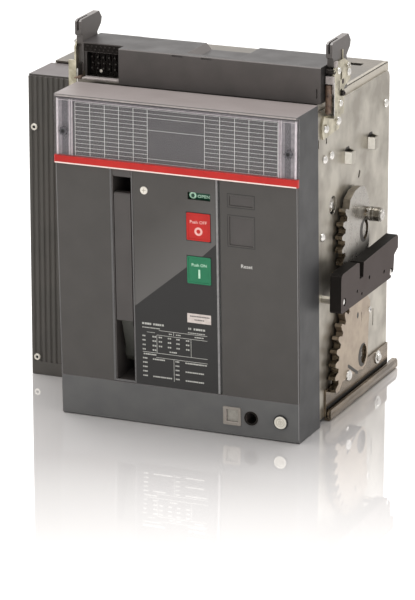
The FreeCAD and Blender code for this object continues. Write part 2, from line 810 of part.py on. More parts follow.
# Studs riveted to the plates: the pivot of the upper sector with its ring, and the left roller pin
def make_stud(root, tip):
    stud = rod("x", racking_shaft_radius, (root, *upper_centre), tip - root)
    return stud.fuse(prism("x", racking_shaft_radius + 4, (root, *upper_centre),
                           sector_gap - running_gap))


def make_ring(x0):
    ring = prism("x", counterbore_radius - 1.2, (x0, *upper_centre), 1.2)
    return ring.cut(prism("x", racking_shaft_radius, (x0 - 1, *upper_centre), 4, around=True))


ring_x = sector_x1 - counterbore_depth + running_gap
save("plate_studs", make_stud(plate_outer, sector_x1 - 1.2), mirror_x(make_roller_pin(plate_outer)))
save("retaining_ring", make_ring(ring_x))

# Racking gearbox, a closed casting that holds the worm stage
gearbox = block(crank_x - gearbox_width / 2, crank_x + gearbox_width / 2, gearbox_front, gearbox_rear,
                base_height, gearbox_height)
gearbox = bevel_edges(gearbox, 4, "x", lambda c: c.z > gearbox_height - 5)
gearbox = gearbox.cut(prism("x", racking_shaft_radius + shaft_fit,
                            (crank_x - gearbox_width, *lower_centre), 2 * gearbox_width, 16, around=True))
gearbox = gearbox.cut(prism("y", input_shaft_radius + shaft_fit,
                            (crank_x, gearbox_front - 1, band_centre_height),
                            input_end - gearbox_front + 2, 16, around=True))
save("racking_gearbox", gearbox)


# Side plates
def slot_hole(y, z, length, width, angle, x0, x1):
    """Slot through a side plate, with bevelled ends."""
    turn = math.radians(angle)
    half = length / 2
    side = width / 2
    bevel = width * 0.3
    quarter = [(half - bevel, side), (half, side - bevel)]
    outline = quarter + [(a, -b) for a, b in reversed(quarter)]
    outline += [(-a, -b) for a, b in quarter] + [(-a, b) for a, b in reversed(quarter)]
    return side_profile([(y + a * math.cos(turn) - b * math.sin(turn),
                          z + a * math.sin(turn) + b * math.cos(turn)) for a, b in outline], x0, x1)


pocket_bottom = plate_height - 74.5
pocket_height = 13.5
pocket_reach = 9.0
pocket_length = 20.0
pocket_places = (depth(151.5), depth(221.7))


def pressed_pocket(y):
    """Sheet pressed out of the plate: a front wall and a face that slopes back."""
    outer = [(plate_outer - sheet, y), (plate_outer + pocket_reach, y),
             (plate_outer + pocket_reach, y + pocket_length / 2), (plate_outer - sheet, y + pocket_length)]
    inner = [(plate_outer - sheet - 1, y + sheet), (plate_outer + pocket_reach - sheet, y + sheet),
             (plate_outer + pocket_reach - sheet, y + pocket_length / 2 - 1),
             (plate_outer - sheet - 1, y + pocket_length - 3)]
    wall = plan_profile(outer, pocket_bottom, pocket_bottom + pocket_height)
    return wall, plan_profile(inner, pocket_bottom - 1, pocket_bottom + pocket_height + 1)


access_hole = (depth(117.8), 235.3)
access_radius = 10.0


def make_right_plate():
    shape = block(plate_inner, plate_outer, plate_front, plate_rear, plate_foot, plate_height)
    shape = round_edges(shape, plate_corner_radius, "x",
                        lambda c: c.y > plate_rear - 1 and c.z > plate_height - 1)
    x0 = plate_inner - 1
    x1 = plate_outer + 1
    for y in pocket_places:
        wall, hollow = pressed_pocket(y)
        shape = shape.fuse(wall).cut(hollow)
    cuts = [prism("x", access_radius, (x0, *access_hole), x1 - x0, 20, around=True),
            prism("x", racking_shaft_radius + shaft_fit, (x0, *lower_centre), x1 - x0, 16, around=True),
            slot_hole(depth(97.4), plate_height - 36.6, 7, 3.4, 90, x0, x1),
            slot_hole(depth(74.3), plate_height - 35.8, 11, 3.0, 90, x0, x1),
            slot_hole(depth(196.7), 250.5, 9, 4.5, 60, x0, x1),
            slot_hole(depth(245), 75.4, 20, 2.4, 90, x0, x1),
            slot_hole(depth(183), 29, 20, 5.0, -35, x0, x1)]
    for cut in cuts:
        shape = shape.cut(cut)
    return shape.removeSplitter()


def make_left_plate():
    return side_profile([(left_plate_front, plate_foot), (left_plate_front, housing_top),
                         (wing_rear, housing_top), (wing_rear, plate_height - sheet),
                         (plate_rear, plate_height - sheet), (plate_rear, plate_foot)],
                        -plate_outer, -plate_inner)


save("right_side_plate", make_right_plate())
save("left_side_plate", make_left_plate())

# Top plates: the main one has a flange inside the right plate
top_plate = block(top_plate_left, plate_inner, top_plate_front, plate_rear, top_plate_height - sheet,
                  top_plate_height)
top_plate = bevel_edges(top_plate, 1.2, "y", lambda c: c.x > 0 and c.z > top_plate_height - 1)
top_flange = block(plate_inner - sheet, plate_inner, top_plate_front, plate_rear,
                   housing_top, top_plate_height - 1.7)
top_plate = top_plate.fuse(top_flange)
top_plate = top_plate.cut(block(132, 156, depth(255), depth(266), top_plate_height - 5,
                                top_plate_height + 5))
rear_lip = block(top_plate_left, plate_inner - 4, plate_rear - sheet, plate_rear,
                 housing_top, top_plate_height - 1)
front_lip = block(top_plate_left, plate_inner - 1, top_plate_front, top_plate_front + sheet,
                  housing_top, top_plate_height - 1)
centre_rests = [block(x, x + sheet, top_plate_front + sheet, plate_rear - sheet, housing_top,
                      top_plate_height - sheet) for x in (cover_left + 1.0, 0.0)]
for piece in (rear_lip, front_lip):
    top_plate = top_plate.fuse(piece)

left_top_plate = block(-plate_outer, top_plate_left, wing_rear + running_gap, plate_rear,
                       plate_height - sheet, plate_height)
left_top_plate = left_top_plate.cut(prism("z", 3.2, (-150, depth(208), plate_height - 5), 10))
left_rest = block(-plate_inner, top_plate_left, plate_rear - 30, plate_rear - 28, housing_top,
                  plate_height - sheet)
save("top_plates", top_plate.removeSplitter(), *centre_rests,
     left_top_plate.fuse(left_rest).removeSplitter())

# Base crossmember: a tray between the plates with lips at the front and rear
base = block(-plate_inner, plate_inner, wing_front + wing_wall + 4, plate_rear - 4,
             base_height - sheet, base_height)
for y in (wing_front + wing_wall + 4, plate_rear - 4 - sheet):
    base = base.fuse(block(-plate_inner, plate_inner, y, y + sheet, base_height - sheet,
                           base_height + 14))
base = base.cut(block(crank_x - 9, crank_x + 9, wing_front, gearbox_front - 4, base_height,
                      base_height + 30))
posts = []
for x in (-70.0, 46.0):
    posts.append(block(x, x + 24, plate_rear - 50, plate_rear - 50 + sheet, base_height, housing_bottom))
    posts.append(block(x, x + sheet, plate_rear - 50, plate_rear - 10, base_height, housing_bottom))
for post in posts:
    base = base.fuse(post)
save("base_crossmember", base.removeSplitter())


# Runners: a riveted wall whose lower edge turns out into a lip
def make_runner(y0):
    inner = plate_outer
    outer = plate_outer + runner_lip
    mid = inner + sheet
    wall = [(inner, runner_height), (mid, runner_height), (mid, sheet + 1), (outer - sheet, sheet),
            (outer - sheet, runner_lip_height), (outer, runner_lip_height), (outer, 1.5),
            (outer - 1.5, 0), (inner + 1, 0), (inner, 1.5)]
    profile = front_profile(wall, y0, plate_rear)
    stub = front_profile([(mid + 1, 0), (outer - 1.5, 0), (outer, 1.5), (outer, runner_lip_height),
                          (mid + 1, runner_lip_height)], plate_rear, plate_rear + runner_tail)
    stub = bevel_edges(stub, 4, "x", lambda c: c.y > plate_rear + 5 and c.z > 5)
    return profile.fuse(stub).removeSplitter()


save("runners", make_runner(runner_front), mirror_x(make_runner(wing_rear + 1.0)))


# Ribbed cover of the fourth pole: a shell that is open at its rear
def make_wing():
    valley = wing_front + rib_depth
    wing_right = cover_left
    shell = block(left_x, wing_right, valley, wing_rear, 0, wing_height)
    shell = shell.cut(block(left_x + wing_wall, wing_right + 1, valley + wing_wall - rib_depth,
                            wing_rear + 1, wing_wall, wing_height - wing_wall))
    pitch = (wing_right - left_x) / wing_ribs
    for index in range(wing_ribs):
        x = left_x + pitch * index
        shell = shell.fuse(block(x, x + pitch / 2, wing_front, valley, rib_bottom, wing_height - 2))
    shell = shell.fuse(block(left_x, wing_right, wing_front, valley, 0, rib_bottom))
    for z in wing_screw_heights:
        shell = shell.fuse(prism("y", screw_radius + 1.5, (left_x + wing_screw_inset, wing_front, z),
                                 rib_depth))
    return shell.removeSplitter()


save("ribbed_pole_cover", make_wing())

# Pole housing: a moulding for each pole, in two halves that meet on the axis of the main shaft
pole_centres = [left_x + edge_allowance + pole_pitch * (index + 0.5) for index in range(pole_count)]
housing_left = -plate_inner


def make_housing(y0, y1):
    front_wall = housing_front + housing_wall
    rear_wall = housing_rear - housing_wall
    bearing = prism("x", main_shaft_radius + shaft_fit,
                    (housing_left + housing_wall, shaft_y, shaft_height),
                    plate_inner - housing_left - 2 * housing_wall, 16, around=True)
    mouldings = []
    for centre in pole_centres:
        left = max(centre - pole_pitch / 2, housing_left)
        right = min(centre + pole_pitch / 2, plate_inner)
        shape = block(left, right, y0, y1, housing_bottom, housing_top)
        chamber = block(centre - chamber_width / 2, centre + chamber_width / 2, front_wall, rear_wall,
                        housing_bottom + housing_wall, housing_top - housing_wall)
        shape = shape.cut(chamber)
        for height in (upper_terminal_height, lower_terminal_height):
            shape = shape.cut(block(centre - terminal_width / 2, centre + terminal_width / 2,
                                    rear_wall - 1, housing_rear + 1, height - terminal_thickness / 2,
                                    height + terminal_thickness / 2))
        mouldings.append(shape.cut(bearing))
    return mouldings


save("pole_housing_front", *make_housing(housing_front, shaft_y))
save("pole_housing_rear", *make_housing(shaft_y, housing_rear))

# Main shaft and the four contact blades that it swings
main_shaft = rod("x", main_shaft_radius, (housing_left + housing_wall + running_gap, shaft_y, shaft_height),
                 plate_inner - housing_left - 2 * housing_wall - 2 * running_gap)
save("main_shaft", main_shaft)


def make_blade(centre):
    half = blade_width / 2
    arm = block(centre - half, centre + half, -blade_thickness / 2, blade_thickness / 2, 0, blade_length)
    hub = prism("x", main_shaft_radius + 6, (centre - half, 0, 0), blade_width)
    bore = prism("x", main_shaft_radius, (centre - half - 1, 0, 0), blade_width + 2, around=True)
    blade = arm.fuse(hub).cut(bore).removeSplitter()
    blade.Placement = FreeCAD.Placement(V(0, shaft_y, shaft_height),
                                        FreeCAD.Rotation(V(1, 0, 0), blade_open_angle))
    return blade


save("contact_blades", *[make_blade(centre) for centre in pole_centres])


# Fixed contacts: an upper bar with a pad and a lower bar with a fork round the blade hub
def make_upper_bar(centre):
    half = terminal_width / 2
    low = upper_terminal_height - terminal_thickness / 2
    pad_front = shaft_y + blade_thickness / 2 + running_gap
    bar = block(centre - half, centre + half, pad_front, terminal_end, low, low + terminal_thickness)
    pad_bottom = shaft_height + blade_length - 16
    pad = block(centre - 10, centre + 10, pad_front, pad_front + 10, pad_bottom, low)
    return bar.fuse(pad).removeSplitter()


def make_lower_bar(centre):
    half = terminal_width / 2
    low = lower_terminal_height - terminal_thickness / 2
    bar_front = shaft_y + main_shaft_radius + 8
    bar = block(centre - half, centre + half, bar_front, terminal_end, low, low + terminal_thickness)
    for side in (-1, 1):
        inner = centre + side * (blade_width / 2 + running_gap)
        outer = centre + side * (blade_width / 2 + running_gap + 6)
        cheek = side_profile([(bar_front - 2, low), (bar_front + 12, low),
                              (bar_front + 12, low + terminal_thickness), (shaft_y + 16, shaft_height + 14),
                              (shaft_y - 14, shaft_height + 14), (shaft_y - 14, shaft_height - 12)],
                             min(inner, outer), max(inner, outer))
        bar = bar.fuse(cheek)
    return bar.cut(prism("x", main_shaft_radius + running_gap, (centre - half, shaft_y, shaft_height),
                         terminal_width, around=True)).removeSplitter()


save("upper_contact_bars", *[make_upper_bar(centre) for centre in pole_centres])
save("lower_contact_bars", *[make_lower_bar(centre) for centre in pole_centres])


# Isolating jaws: sprung fingers above and below each terminal bar
def make_fingers(centre, height):
    start = terminal_end - 14
    end = start + finger_length
    gap = terminal_thickness / 2
    fingers = []
    for side in (-1, 1):
        outline = [(start, gap), (start + 12, gap), (start + 17, gap + 2), (end - 5, gap - 0.6),
                   (end, gap + 3), (end, gap + 6), (end - 12, gap + finger_height),
                   (start, gap + finger_height)]
        outline = [(y, height + side * z) for y, z in outline]
        for index in range(finger_count):
            x = centre + (index - (finger_count - 1) / 2) * finger_pitch
            fingers.append(side_profile(outline, x - finger_width / 2, x + finger_width / 2))
    return fingers


def make_jaw_cage(centre, height):
    """Steel yoke that holds the fingers together round the bar."""
    start = terminal_end - 12
    end = start + 16
    reach = terminal_thickness / 2 + finger_height
    half = finger_pitch * finger_count / 2
    cage = block(centre - half - 1.5, centre + half + 1.5, start, end, height - reach - 1.5,
                 height + reach + 1.5)
    return cage.cut(block(centre - half, centre + half, start - 1, end + 1, height - reach,
                          height + reach))


upper_fingers = []
lower_fingers = []
cages = []
for centre in pole_centres:
    upper_fingers += make_fingers(centre, upper_terminal_height)
    lower_fingers += make_fingers(centre, lower_terminal_height)
    for height in (upper_terminal_height, lower_terminal_height):
        cages.append(make_jaw_cage(centre, height))
save("upper_jaw_fingers", *upper_fingers)
save("lower_jaw_fingers", *lower_fingers)
save("jaw_cages", *cages)

# Arc chutes: splitter plates between two cheeks above each blade
chute_bottom = upper_terminal_height + terminal_thickness / 2 + 4.0
chute_top = housing_top - housing_wall - 0.5
chute_front = housing_front + housing_wall + 2
chute_rear = shaft_y + 16
chutes = []
for centre in pole_centres:
    half = chamber_width / 2 - 0.5
    frame = block(centre - half, centre + half, chute_front, chute_rear, chute_bottom, chute_top)
    frame = frame.cut(block(centre - half + 2, centre + half - 2, chute_front - 1, chute_rear + 1,
                            chute_bottom - 1, chute_top + 1))
    chutes.append(frame)
    pitch = (chute_rear - chute_front) / chute_plates
    for index in range(chute_plates):
        y = chute_front + pitch * (index + 0.5) - 1
        chutes.append(block(centre - half + 2, centre + half - 2, y, y + 2, chute_bottom, chute_top))
save("arc_chutes", *chutes)


# Cam block: a thick moulding with a deeper ridge, on two spacers
cam_x0 = plate_outer + cam_stand
cam_x1 = cam_x0 + cam_thickness
cam_screw_places = ((depth(88.5), 138.8), (depth(231.0), 134.0))


def make_cam_block():
    body = side_profile([(cam_front, cam_bottom + 2), (cam_front + 3, cam_bottom),
                         (depth(229), cam_bottom), (depth(238), cam_bottom + 7),
                         (depth(240), cam_bottom + 24), (cam_rear, cam_bottom + 29),
                         (cam_rear, cam_top - 3), (cam_rear - 3, cam_top), (depth(145), cam_top - 4),
                         (depth(144), cam_top - 20), (depth(133), cam_top - 20),
                         (depth(132), cam_top - 2), (depth(126), cam_top), (cam_front + 5, cam_top - 1),
                         (cam_front + 1, cam_top - 3), (cam_front, cam_top - 8)], cam_x0, cam_x1)
    ridge = side_profile([(depth(146), cam_top - 17), (cam_rear - 2, cam_top - 14),
                          (cam_rear - 2, cam_top - 2), (depth(146), cam_top - 5)],
                         sector_x1 + cam_ridge_gap, cam_x1)
    body = body.fuse(ridge)
    for y, z, radius in ((depth(162.7), 146.2, 2.4), (depth(208.3), 140.3, 2.4),
                         (depth(126.1), 140.4, 2.0), (depth(140), 134.0, 2.0)):
        body = body.cut(prism("x", radius, (cam_x1 - 6, y, z), 8, 8))
    for y, z in cam_screw_places:
        body = body.cut(prism("x", screw_radius + 0.8, (cam_x1 - 3, y, z), 5))
    return body.removeSplitter()


save("cam_block", make_cam_block())
cam_spacers = [prism("x", 4.2, (plate_outer, y, z), cam_stand, 6) for y, z in cam_screw_places]
save("cam_block_spacers", *cam_spacers)
cam_screws = [pan_head(screw_radius, 2.2, (cam_x1 - 3, y, z), (1, 0, 0)) for y, z in cam_screw_places]


# Terminal box with a sloped recess, and the open bay beside it
def make_terminal_box():
    z0 = top_plate_height
    shape = block(box_left, box_right, box_front, box_rear, z0, box_height)
    shape = bevel_edges(shape, 1.0, "x", lambda c: c.z > box_height - 1)
    shape = shape.cut(block(box_left + box_wall, box_right - box_wall, box_front + box_wall,
                            box_rear - box_wall, z0 - 1, box_height - recess_depth - box_wall))
    slope = 7.0
    recess = front_profile([(recess_left, box_height + 1), (recess_left + slope, box_height - recess_depth),
                            (recess_right - slope, box_height - recess_depth),
                            (recess_right, box_height + 1)], box_front + 9, box_rear + 1)
    shape = shape.cut(recess)
    for x in (recess_left - 12, recess_left + 22):
        shape = shape.cut(block(x, x + 12, box_front - 1, box_front + 1.2, box_height - 3.0,
                                box_height - 1.0))
    shape = shape.cut(block(box_right - 5, box_right - 3.4, box_front - 1, box_front + 1.2, z0 + 6, z0 + 16))
    roof = block(top_plate_left, box_left, bay_front, box_rear, box_height - bay_roof, box_height)
    back = block(top_plate_left, box_left, box_rear - box_wall, box_rear, z0, box_height)
    cheek = block(top_plate_left, top_plate_left + box_wall, bay_front + 8, box_rear, z0, box_height)
    return shape.fuse(roof).fuse(back).fuse(cheek).removeSplitter()


save("terminal_box", make_terminal_box())
contact_rows = 7
contact_pitch = (box_left - top_plate_left - box_wall) / contact_rows
contact_blocks = []
for index in range(contact_rows):
    x = top_plate_left + box_wall + contact_pitch * index + 0.6
    strip_block = block(x, x + contact_pitch - 1.2, bay_front + 18, box_rear - box_wall,
                        top_plate_height, box_height - bay_roof)
    strip_block = strip_block.cut(block(x + 1.6, x + contact_pitch - 2.8, bay_front + 16, bay_front + 26,
                                        top_plate_height + 4, top_plate_height + 12))
    strip_block = strip_block.cut(block(x + 1.6, x + contact_pitch - 2.8, bay_front + 16, bay_front + 26,
                                        top_plate_height + 16, top_plate_height + 24))
    contact_blocks.append(strip_block)
save("sliding_contact_blocks", *contact_blocks)


# Guide hooks on plated brackets, one above each side
def make_hook(x0):
    """Forked plastic blade on a neck that stands beside its bracket."""
    x1 = x0 + hook_thickness
    low = hook_top - hook_height
    rear = hook_front + hook_length
    outline = [(hook_front, low), (hook_front, hook_top - 3), (hook_front + 3, hook_top - 1),
               (rear - 7, hook_top), (rear, hook_top - 8), (rear - 2, hook_top - 14),
               (rear - 12, low - 5), (rear - 10, low - 12), (rear - 10, hook_foot),
               (hook_front + 8, hook_foot), (hook_front + 8, low - 14), (hook_front + 4, low - 10),
               (hook_front + 4, low - 2)]
    blade = side_profile(outline, x0, x1)
    blade = blade.cut(block(x0 + 2.4, x0 + 4.4, hook_front - 1, hook_front + 24, low + 4, hook_top + 1))
    return blade.cut(prism("x", 2.6, (x0 - 1, hook_front + 30, low - 12), hook_thickness + 2, 8))


hook_clearance = 0.3
right_hook_x = box_right + hook_clearance
left_hook_x = top_plate_left - hook_clearance - hook_thickness
save("guide_hooks", make_hook(right_hook_x), make_hook(left_hook_x))

bracket_front = hook_front + 2.0
bracket_rear = bracket_front + 29
bracket_x = right_hook_x + hook_thickness
foot_rivets = ((depth(88), bracket_shelf - 14.1), (depth(124), bracket_shelf - 13.4))


def bracket_side(x0, x1, bottom):
    """Upright flange beside a hook, wider at its head."""
    return side_profile([(bracket_front, bottom), (bracket_rear, bottom),
                         (bracket_rear, bracket_top - 31), (bracket_rear + 18, bracket_top - 25),
                         (bracket_rear + 18, bracket_top - 9), (bracket_rear, bracket_top),
                         (bracket_front + 8, bracket_top), (bracket_front, bracket_top - 8)], x0, x1)


def make_right_bracket():
    foot = side_profile([(depth(80), bracket_shelf - 18), (depth(84), bracket_shelf - 25),
                         (depth(128), bracket_shelf - 23), (depth(133), bracket_shelf - 17),
                         (depth(133), bracket_shelf - 6), (bracket_rear, bracket_shelf),
                         (depth(86), bracket_shelf), (depth(80), bracket_shelf - 8)],
                        plate_outer, plate_outer + sheet)
    shelf = block(plate_outer, bracket_x + sheet, bracket_front, bracket_rear, bracket_shelf - sheet,
                  bracket_shelf)
    side = bracket_side(bracket_x, bracket_x + sheet, bracket_shelf - sheet)
    for fall, length in ((17, 9), (35, 8)):
        side = side.cut(slot_hole(bracket_front + 20, bracket_top - fall, length, 4.6, 90, bracket_x - 1,
                                  bracket_x + sheet + 1))
    front = block(bracket_x - 6, bracket_x + sheet, bracket_front, bracket_front + sheet,
                  bracket_shelf - sheet, hook_foot - 1)
    return foot.fuse(shelf).fuse(side).fuse(front).removeSplitter()


left_bracket_x = left_hook_x
left_foot_bottom = top_plate_height - 70.0


def make_left_bracket():
    side = bracket_side(left_bracket_x - sheet, left_bracket_x, wing_height + 4)
    web = block(left_bracket_x - 9, left_bracket_x, bracket_front, bracket_front + sheet,
                left_foot_bottom, wing_height + 30)
    tongue = block(left_bracket_x - 9, frame_left, bracket_front, bracket_front + sheet,
                   left_foot_bottom, left_foot_bottom + 34)
    foot = block(frame_left - sheet, frame_left, bracket_front, bracket_rear, left_foot_bottom,
                 left_foot_bottom + 34)
    return side.fuse(web).fuse(tongue).fuse(foot).removeSplitter()


save("guide_brackets", make_right_bracket(), make_left_bracket())
outer_face = bracket_x + sheet
save("panhead_screws", *cam_screws,
     pan_head(3.4, 2.4, (outer_face, bracket_front + 12, bracket_top - 10), (1, 0, 0)),
     pan_head(3.4, 2.4, (outer_face, bracket_front + 18, bracket_shelf + 11), (1, 0, 0)),
     pan_head(3.4, 2.4, (outer_face, bracket_rear + 12, bracket_top - 17), (1, 0, 0)),
     pan_head(3.4, 2.4, (left_bracket_x - sheet, bracket_front + 12, bracket_top - 10), (-1, 0, 0)),
     pan_head(3.0, 2.0, (frame_left - sheet, bracket_front + 16, left_foot_bottom + 10), (-1, 0, 0)),
     pan_head(3.0, 2.0, (frame_left - sheet, bracket_front + 16, left_foot_bottom + 25), (-1, 0, 0)))

# Rivets and screws on the right plate
side_rivets = [(depth(90.3), plate_height - 55.2), (depth(109.8), plate_height - 55.2),
               (depth(86), 207.8), (depth(274.5), plate_height - 35.0)]
rivets = [pan_head(rivet_radius, rivet_height, (plate_outer, y, z), (1, 0, 0)) for y, z in side_rivets]
rivets += [pan_head(rivet_radius, rivet_height, (plate_outer + sheet, y, z), (1, 0, 0))
           for y, z in foot_rivets]
rivets.append(pan_head(3.4, 2.0, (plate_outer + sheet, depth(163.5), 29.5), (1, 0, 0)))
rivets.append(pan_head(4.0, 1.7, (plate_outer, depth(230.4), 86.8), (1, 0, 0)))
access_boss = prism("x", housing_front - sheet - running_gap - access_hole[0],
                    (plate_inner - 5, *access_hole), 5, 8)
boss = prism("x", 7.5, (plate_outer + sheet, depth(254.8), 26.0), 1.6)
save("plate_fasteners", *rivets,
     boss.fuse(pan_head(3.4, 2.0, (plate_outer + sheet + 1.6, depth(254.8), 26.0), (1, 0, 0))),
     access_boss.fuse(pan_head(3.0, 2.0, (plate_inner, *access_hole), (1, 0, 0))))
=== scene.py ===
# %% [markdown]
# # The moving unit of a withdrawable switch disconnector
# This notebook dresses the rigid model of a four-pole switch on its pull-out chassis: a grey
# moulded front, folded steel plates behind it, and rows of contact fingers at the back. The solids
# come from the construction model and stay where they are. What is added here is the finish of
# each material, the print and signs on the front, and the small heads, rims and drives that
# nobody machines into a plain solid.

# %% Load the rigid frame
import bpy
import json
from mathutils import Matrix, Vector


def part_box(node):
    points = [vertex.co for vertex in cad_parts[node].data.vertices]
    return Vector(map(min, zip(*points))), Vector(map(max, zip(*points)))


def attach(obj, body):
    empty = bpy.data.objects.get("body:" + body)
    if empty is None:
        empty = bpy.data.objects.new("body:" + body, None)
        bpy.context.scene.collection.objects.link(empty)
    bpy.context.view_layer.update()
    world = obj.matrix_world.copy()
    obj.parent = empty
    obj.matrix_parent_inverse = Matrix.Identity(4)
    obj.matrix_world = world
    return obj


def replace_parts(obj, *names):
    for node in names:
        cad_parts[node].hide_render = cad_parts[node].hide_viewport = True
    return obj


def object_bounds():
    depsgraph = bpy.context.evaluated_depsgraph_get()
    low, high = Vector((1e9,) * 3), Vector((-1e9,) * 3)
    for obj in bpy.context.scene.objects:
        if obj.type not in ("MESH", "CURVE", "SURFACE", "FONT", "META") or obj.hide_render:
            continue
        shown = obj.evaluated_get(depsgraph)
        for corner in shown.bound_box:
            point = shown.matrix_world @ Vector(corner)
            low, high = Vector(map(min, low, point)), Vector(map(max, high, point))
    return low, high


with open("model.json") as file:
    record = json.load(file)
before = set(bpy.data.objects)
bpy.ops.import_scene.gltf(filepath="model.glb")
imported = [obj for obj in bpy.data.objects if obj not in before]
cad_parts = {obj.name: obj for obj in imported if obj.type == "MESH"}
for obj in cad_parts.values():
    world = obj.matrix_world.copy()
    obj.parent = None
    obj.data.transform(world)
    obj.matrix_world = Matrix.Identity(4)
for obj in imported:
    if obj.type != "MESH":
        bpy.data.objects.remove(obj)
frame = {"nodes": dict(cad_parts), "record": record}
cad_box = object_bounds()

# %% Tools used below
import json
import math

import bmesh
import bpy
from mathutils import Matrix, Vector
from mathutils.geometry import tessellate_polygon

scene = bpy.context.scene
MM = 0.001
print("one millimetre is", MM)

# %% [markdown]
# ## The camera
# The photograph was taken from the right, a little above, through a long lens: upright edges stay
# upright and the rear is hardly smaller than the front. A lens of about 220 mm on a 36 mm sensor,
# four metres away, gives the same picture with no shift and no roll. A short lens nearby could
# show the same sides, but it would spread the front and shrink the rear.

# %% Camera
camera_data = bpy.data.cameras.new("photo_camera")
camera_data.lens = 219.8
camera_data.sensor_width = 36.0
camera = bpy.data.objects.new("photo_camera", camera_data)
camera.location = (1.5286, -3.5601, 1.2604)
camera.rotation_euler = (math.radians(73.275), 0.0, math.radians(23.054))
scene.collection.objects.link(camera)
scene.camera = camera
scene.view_settings.view_transform = "Standard"
print("camera at", tuple(round(value, 3) for value in camera.location))

# %% [markdown]
# ## Light
# A product shot like this is lit by white walls and softboxes. A white world does the walls, so
# that steel has something pale to mirror. The tops of the real unit are much paler than its front,
# so the main lamp is a softbox straight overhead. A weak one behind the unit keeps the floor white
# and rims the upper edges, and a small one at the right puts bright spots on the rivets.

# %% World and softboxes
world = bpy.data.worlds.new("studio")
world.use_nodes = True
world.node_tree.nodes["Background"].inputs["Color"].default_value = (1.0, 0.985, 0.97, 1.0)
world.node_tree.nodes["Background"].inputs["Strength"].default_value = 0.85
scene.world = world


def softbox(name, place, aim, size, power):
    """An area lamp at place that looks at aim."""
    lamp = bpy.data.lights.new(name, "AREA")
    lamp.shape = "RECTANGLE"
    lamp.size, lamp.size_y = size
    lamp.energy = power
    holder = bpy.data.objects.new(name, lamp)
    holder.location = place
    direction = Vector(aim) - Vector(place)
    holder.rotation_euler = direction.to_track_quat("-Z", "Y").to_euler()
    scene.collection.objects.link(holder)


softbox("back_softbox", (-1.7, 4.0, 1.7), (0.0, 0.0, 0.3), (6.0, 2.8), 30.0)
softbox("overhead_softbox", (-0.1, 0.15, 2.4), (0.0, 0.0, 0.2), (1.6, 1.6), 85.0)
softbox("right_softbox", (2.4, -0.8, 1.5), (0.1, 0.0, 0.2), (1.0, 1.4), 2.5)

# %% [markdown]
# ## Finishes
# Every surface here is a moulded plastic or a plated metal. Painting one flat colour would look
# like a toy, so each finish has four layers: a colour that drifts over a few centimetres, a fine
# grain in the bump, a roughness that follows the drift, and edges that are a little rounded. All
# of them read the object's own coordinates, so nothing slides when the view moves.


# %% Screen colours
def tint(red, green, blue):
    """A colour read as 0 to 255 on a screen, as the shader wants it."""
    return tuple(
        (value / 255 / 12.92) if value <= 10 else ((value / 255 + 0.055) / 1.055) ** 2.4
        for value in (red, green, blue)
    ) + (1.0,)


print("one grey on the screen", [round(value, 3) for value in tint(90, 90, 90)])

# %% Nodes and joins
CLOUD_LOW, CLOUD_HIGH = 0.3, 0.7


def add_node(finish, kind, **values):
    """A new node in a finish, with its inputs set by name."""
    node = finish.node_tree.nodes.new(kind)
    for name, value in values.items():
        node.inputs[name.replace("_", " ")].default_value = value
    return node


def join(finish, out_socket, in_socket):
    finish.node_tree.links.new(out_socket, in_socket)


def put(finish, source, socket):
    """Set a socket to a plain value, or join another socket to it."""
    if isinstance(source, tuple):
        socket.default_value = source
    else:
        join(finish, source, socket)


def ramp(finish, source, low, high):
    """Two colours that follow a grey value."""
    node = finish.node_tree.nodes.new("ShaderNodeValToRGB")
    for element, position, colour in zip(node.color_ramp.elements, (0.35, 0.65), (low, high)):
        element.position = position
        element.color = colour
    join(finish, source, node.inputs["Fac"])
    return node.outputs["Color"]


def spread(finish, source, low, high, start=CLOUD_LOW, end=CLOUD_HIGH):
    """A grey value stretched to run from low to high."""
    node = add_node(finish, "ShaderNodeMapRange", From_Min=start, From_Max=end,
                    To_Min=low, To_Max=high)
    join(finish, source, node.inputs["Value"])
    return node.outputs["Result"]


def place_of(finish, stretch=(1.0, 1.0, 1.0)):
    """The object's own coordinates, squeezed or stretched."""
    place = finish.node_tree.nodes.new("ShaderNodeTexCoord")
    mapping = add_node(finish, "ShaderNodeMapping", Scale=stretch)
    join(finish, place.outputs["Object"], mapping.inputs["Vector"])
    return mapping.outputs["Vector"]


print("clouds of noise lie mostly between", CLOUD_LOW, "and", CLOUD_HIGH)


# %% Clouds, mixes and directions
def noise(finish, size, detail=3.0, stretch=(1.0, 1.0, 1.0)):
    """Cloudy noise with patches of about size metres."""
    cloud = add_node(finish, "ShaderNodeTexNoise", Scale=1.0 / size, Detail=detail)
    join(finish, place_of(finish, stretch), cloud.inputs["Vector"])
    return cloud.outputs["Fac"]


def mixed(finish, factor, first, second):
    """Two colours mixed by a grey value."""
    mix = finish.node_tree.nodes.new("ShaderNodeMix")
    mix.data_type = "RGBA"
    join(finish, factor, mix.inputs["Factor"])
    join(finish, first, mix.inputs["A"])
    put(finish, second, mix.inputs["B"])
    return mix.outputs["Result"]


def reach_along(finish, source, way):
    """How far a direction or a place reaches along a way."""
    node = finish.node_tree.nodes.new("ShaderNodeVectorMath")
    node.operation = "DOT_PRODUCT"
    join(finish, source, node.inputs[0])
    put(finish, way, node.inputs[1])
    return node.outputs["Value"]


print("patches of 3 mm need a noise scale of", round(1.0 / (3 * MM)))

# %% The common finish
UP = (0.0, 0.0, 1.0)
RIGHT = (1.0, 0.0, 0.0)
finishes = {}


def shader_of(finish):
    return finish.node_tree.nodes["Principled BSDF"]


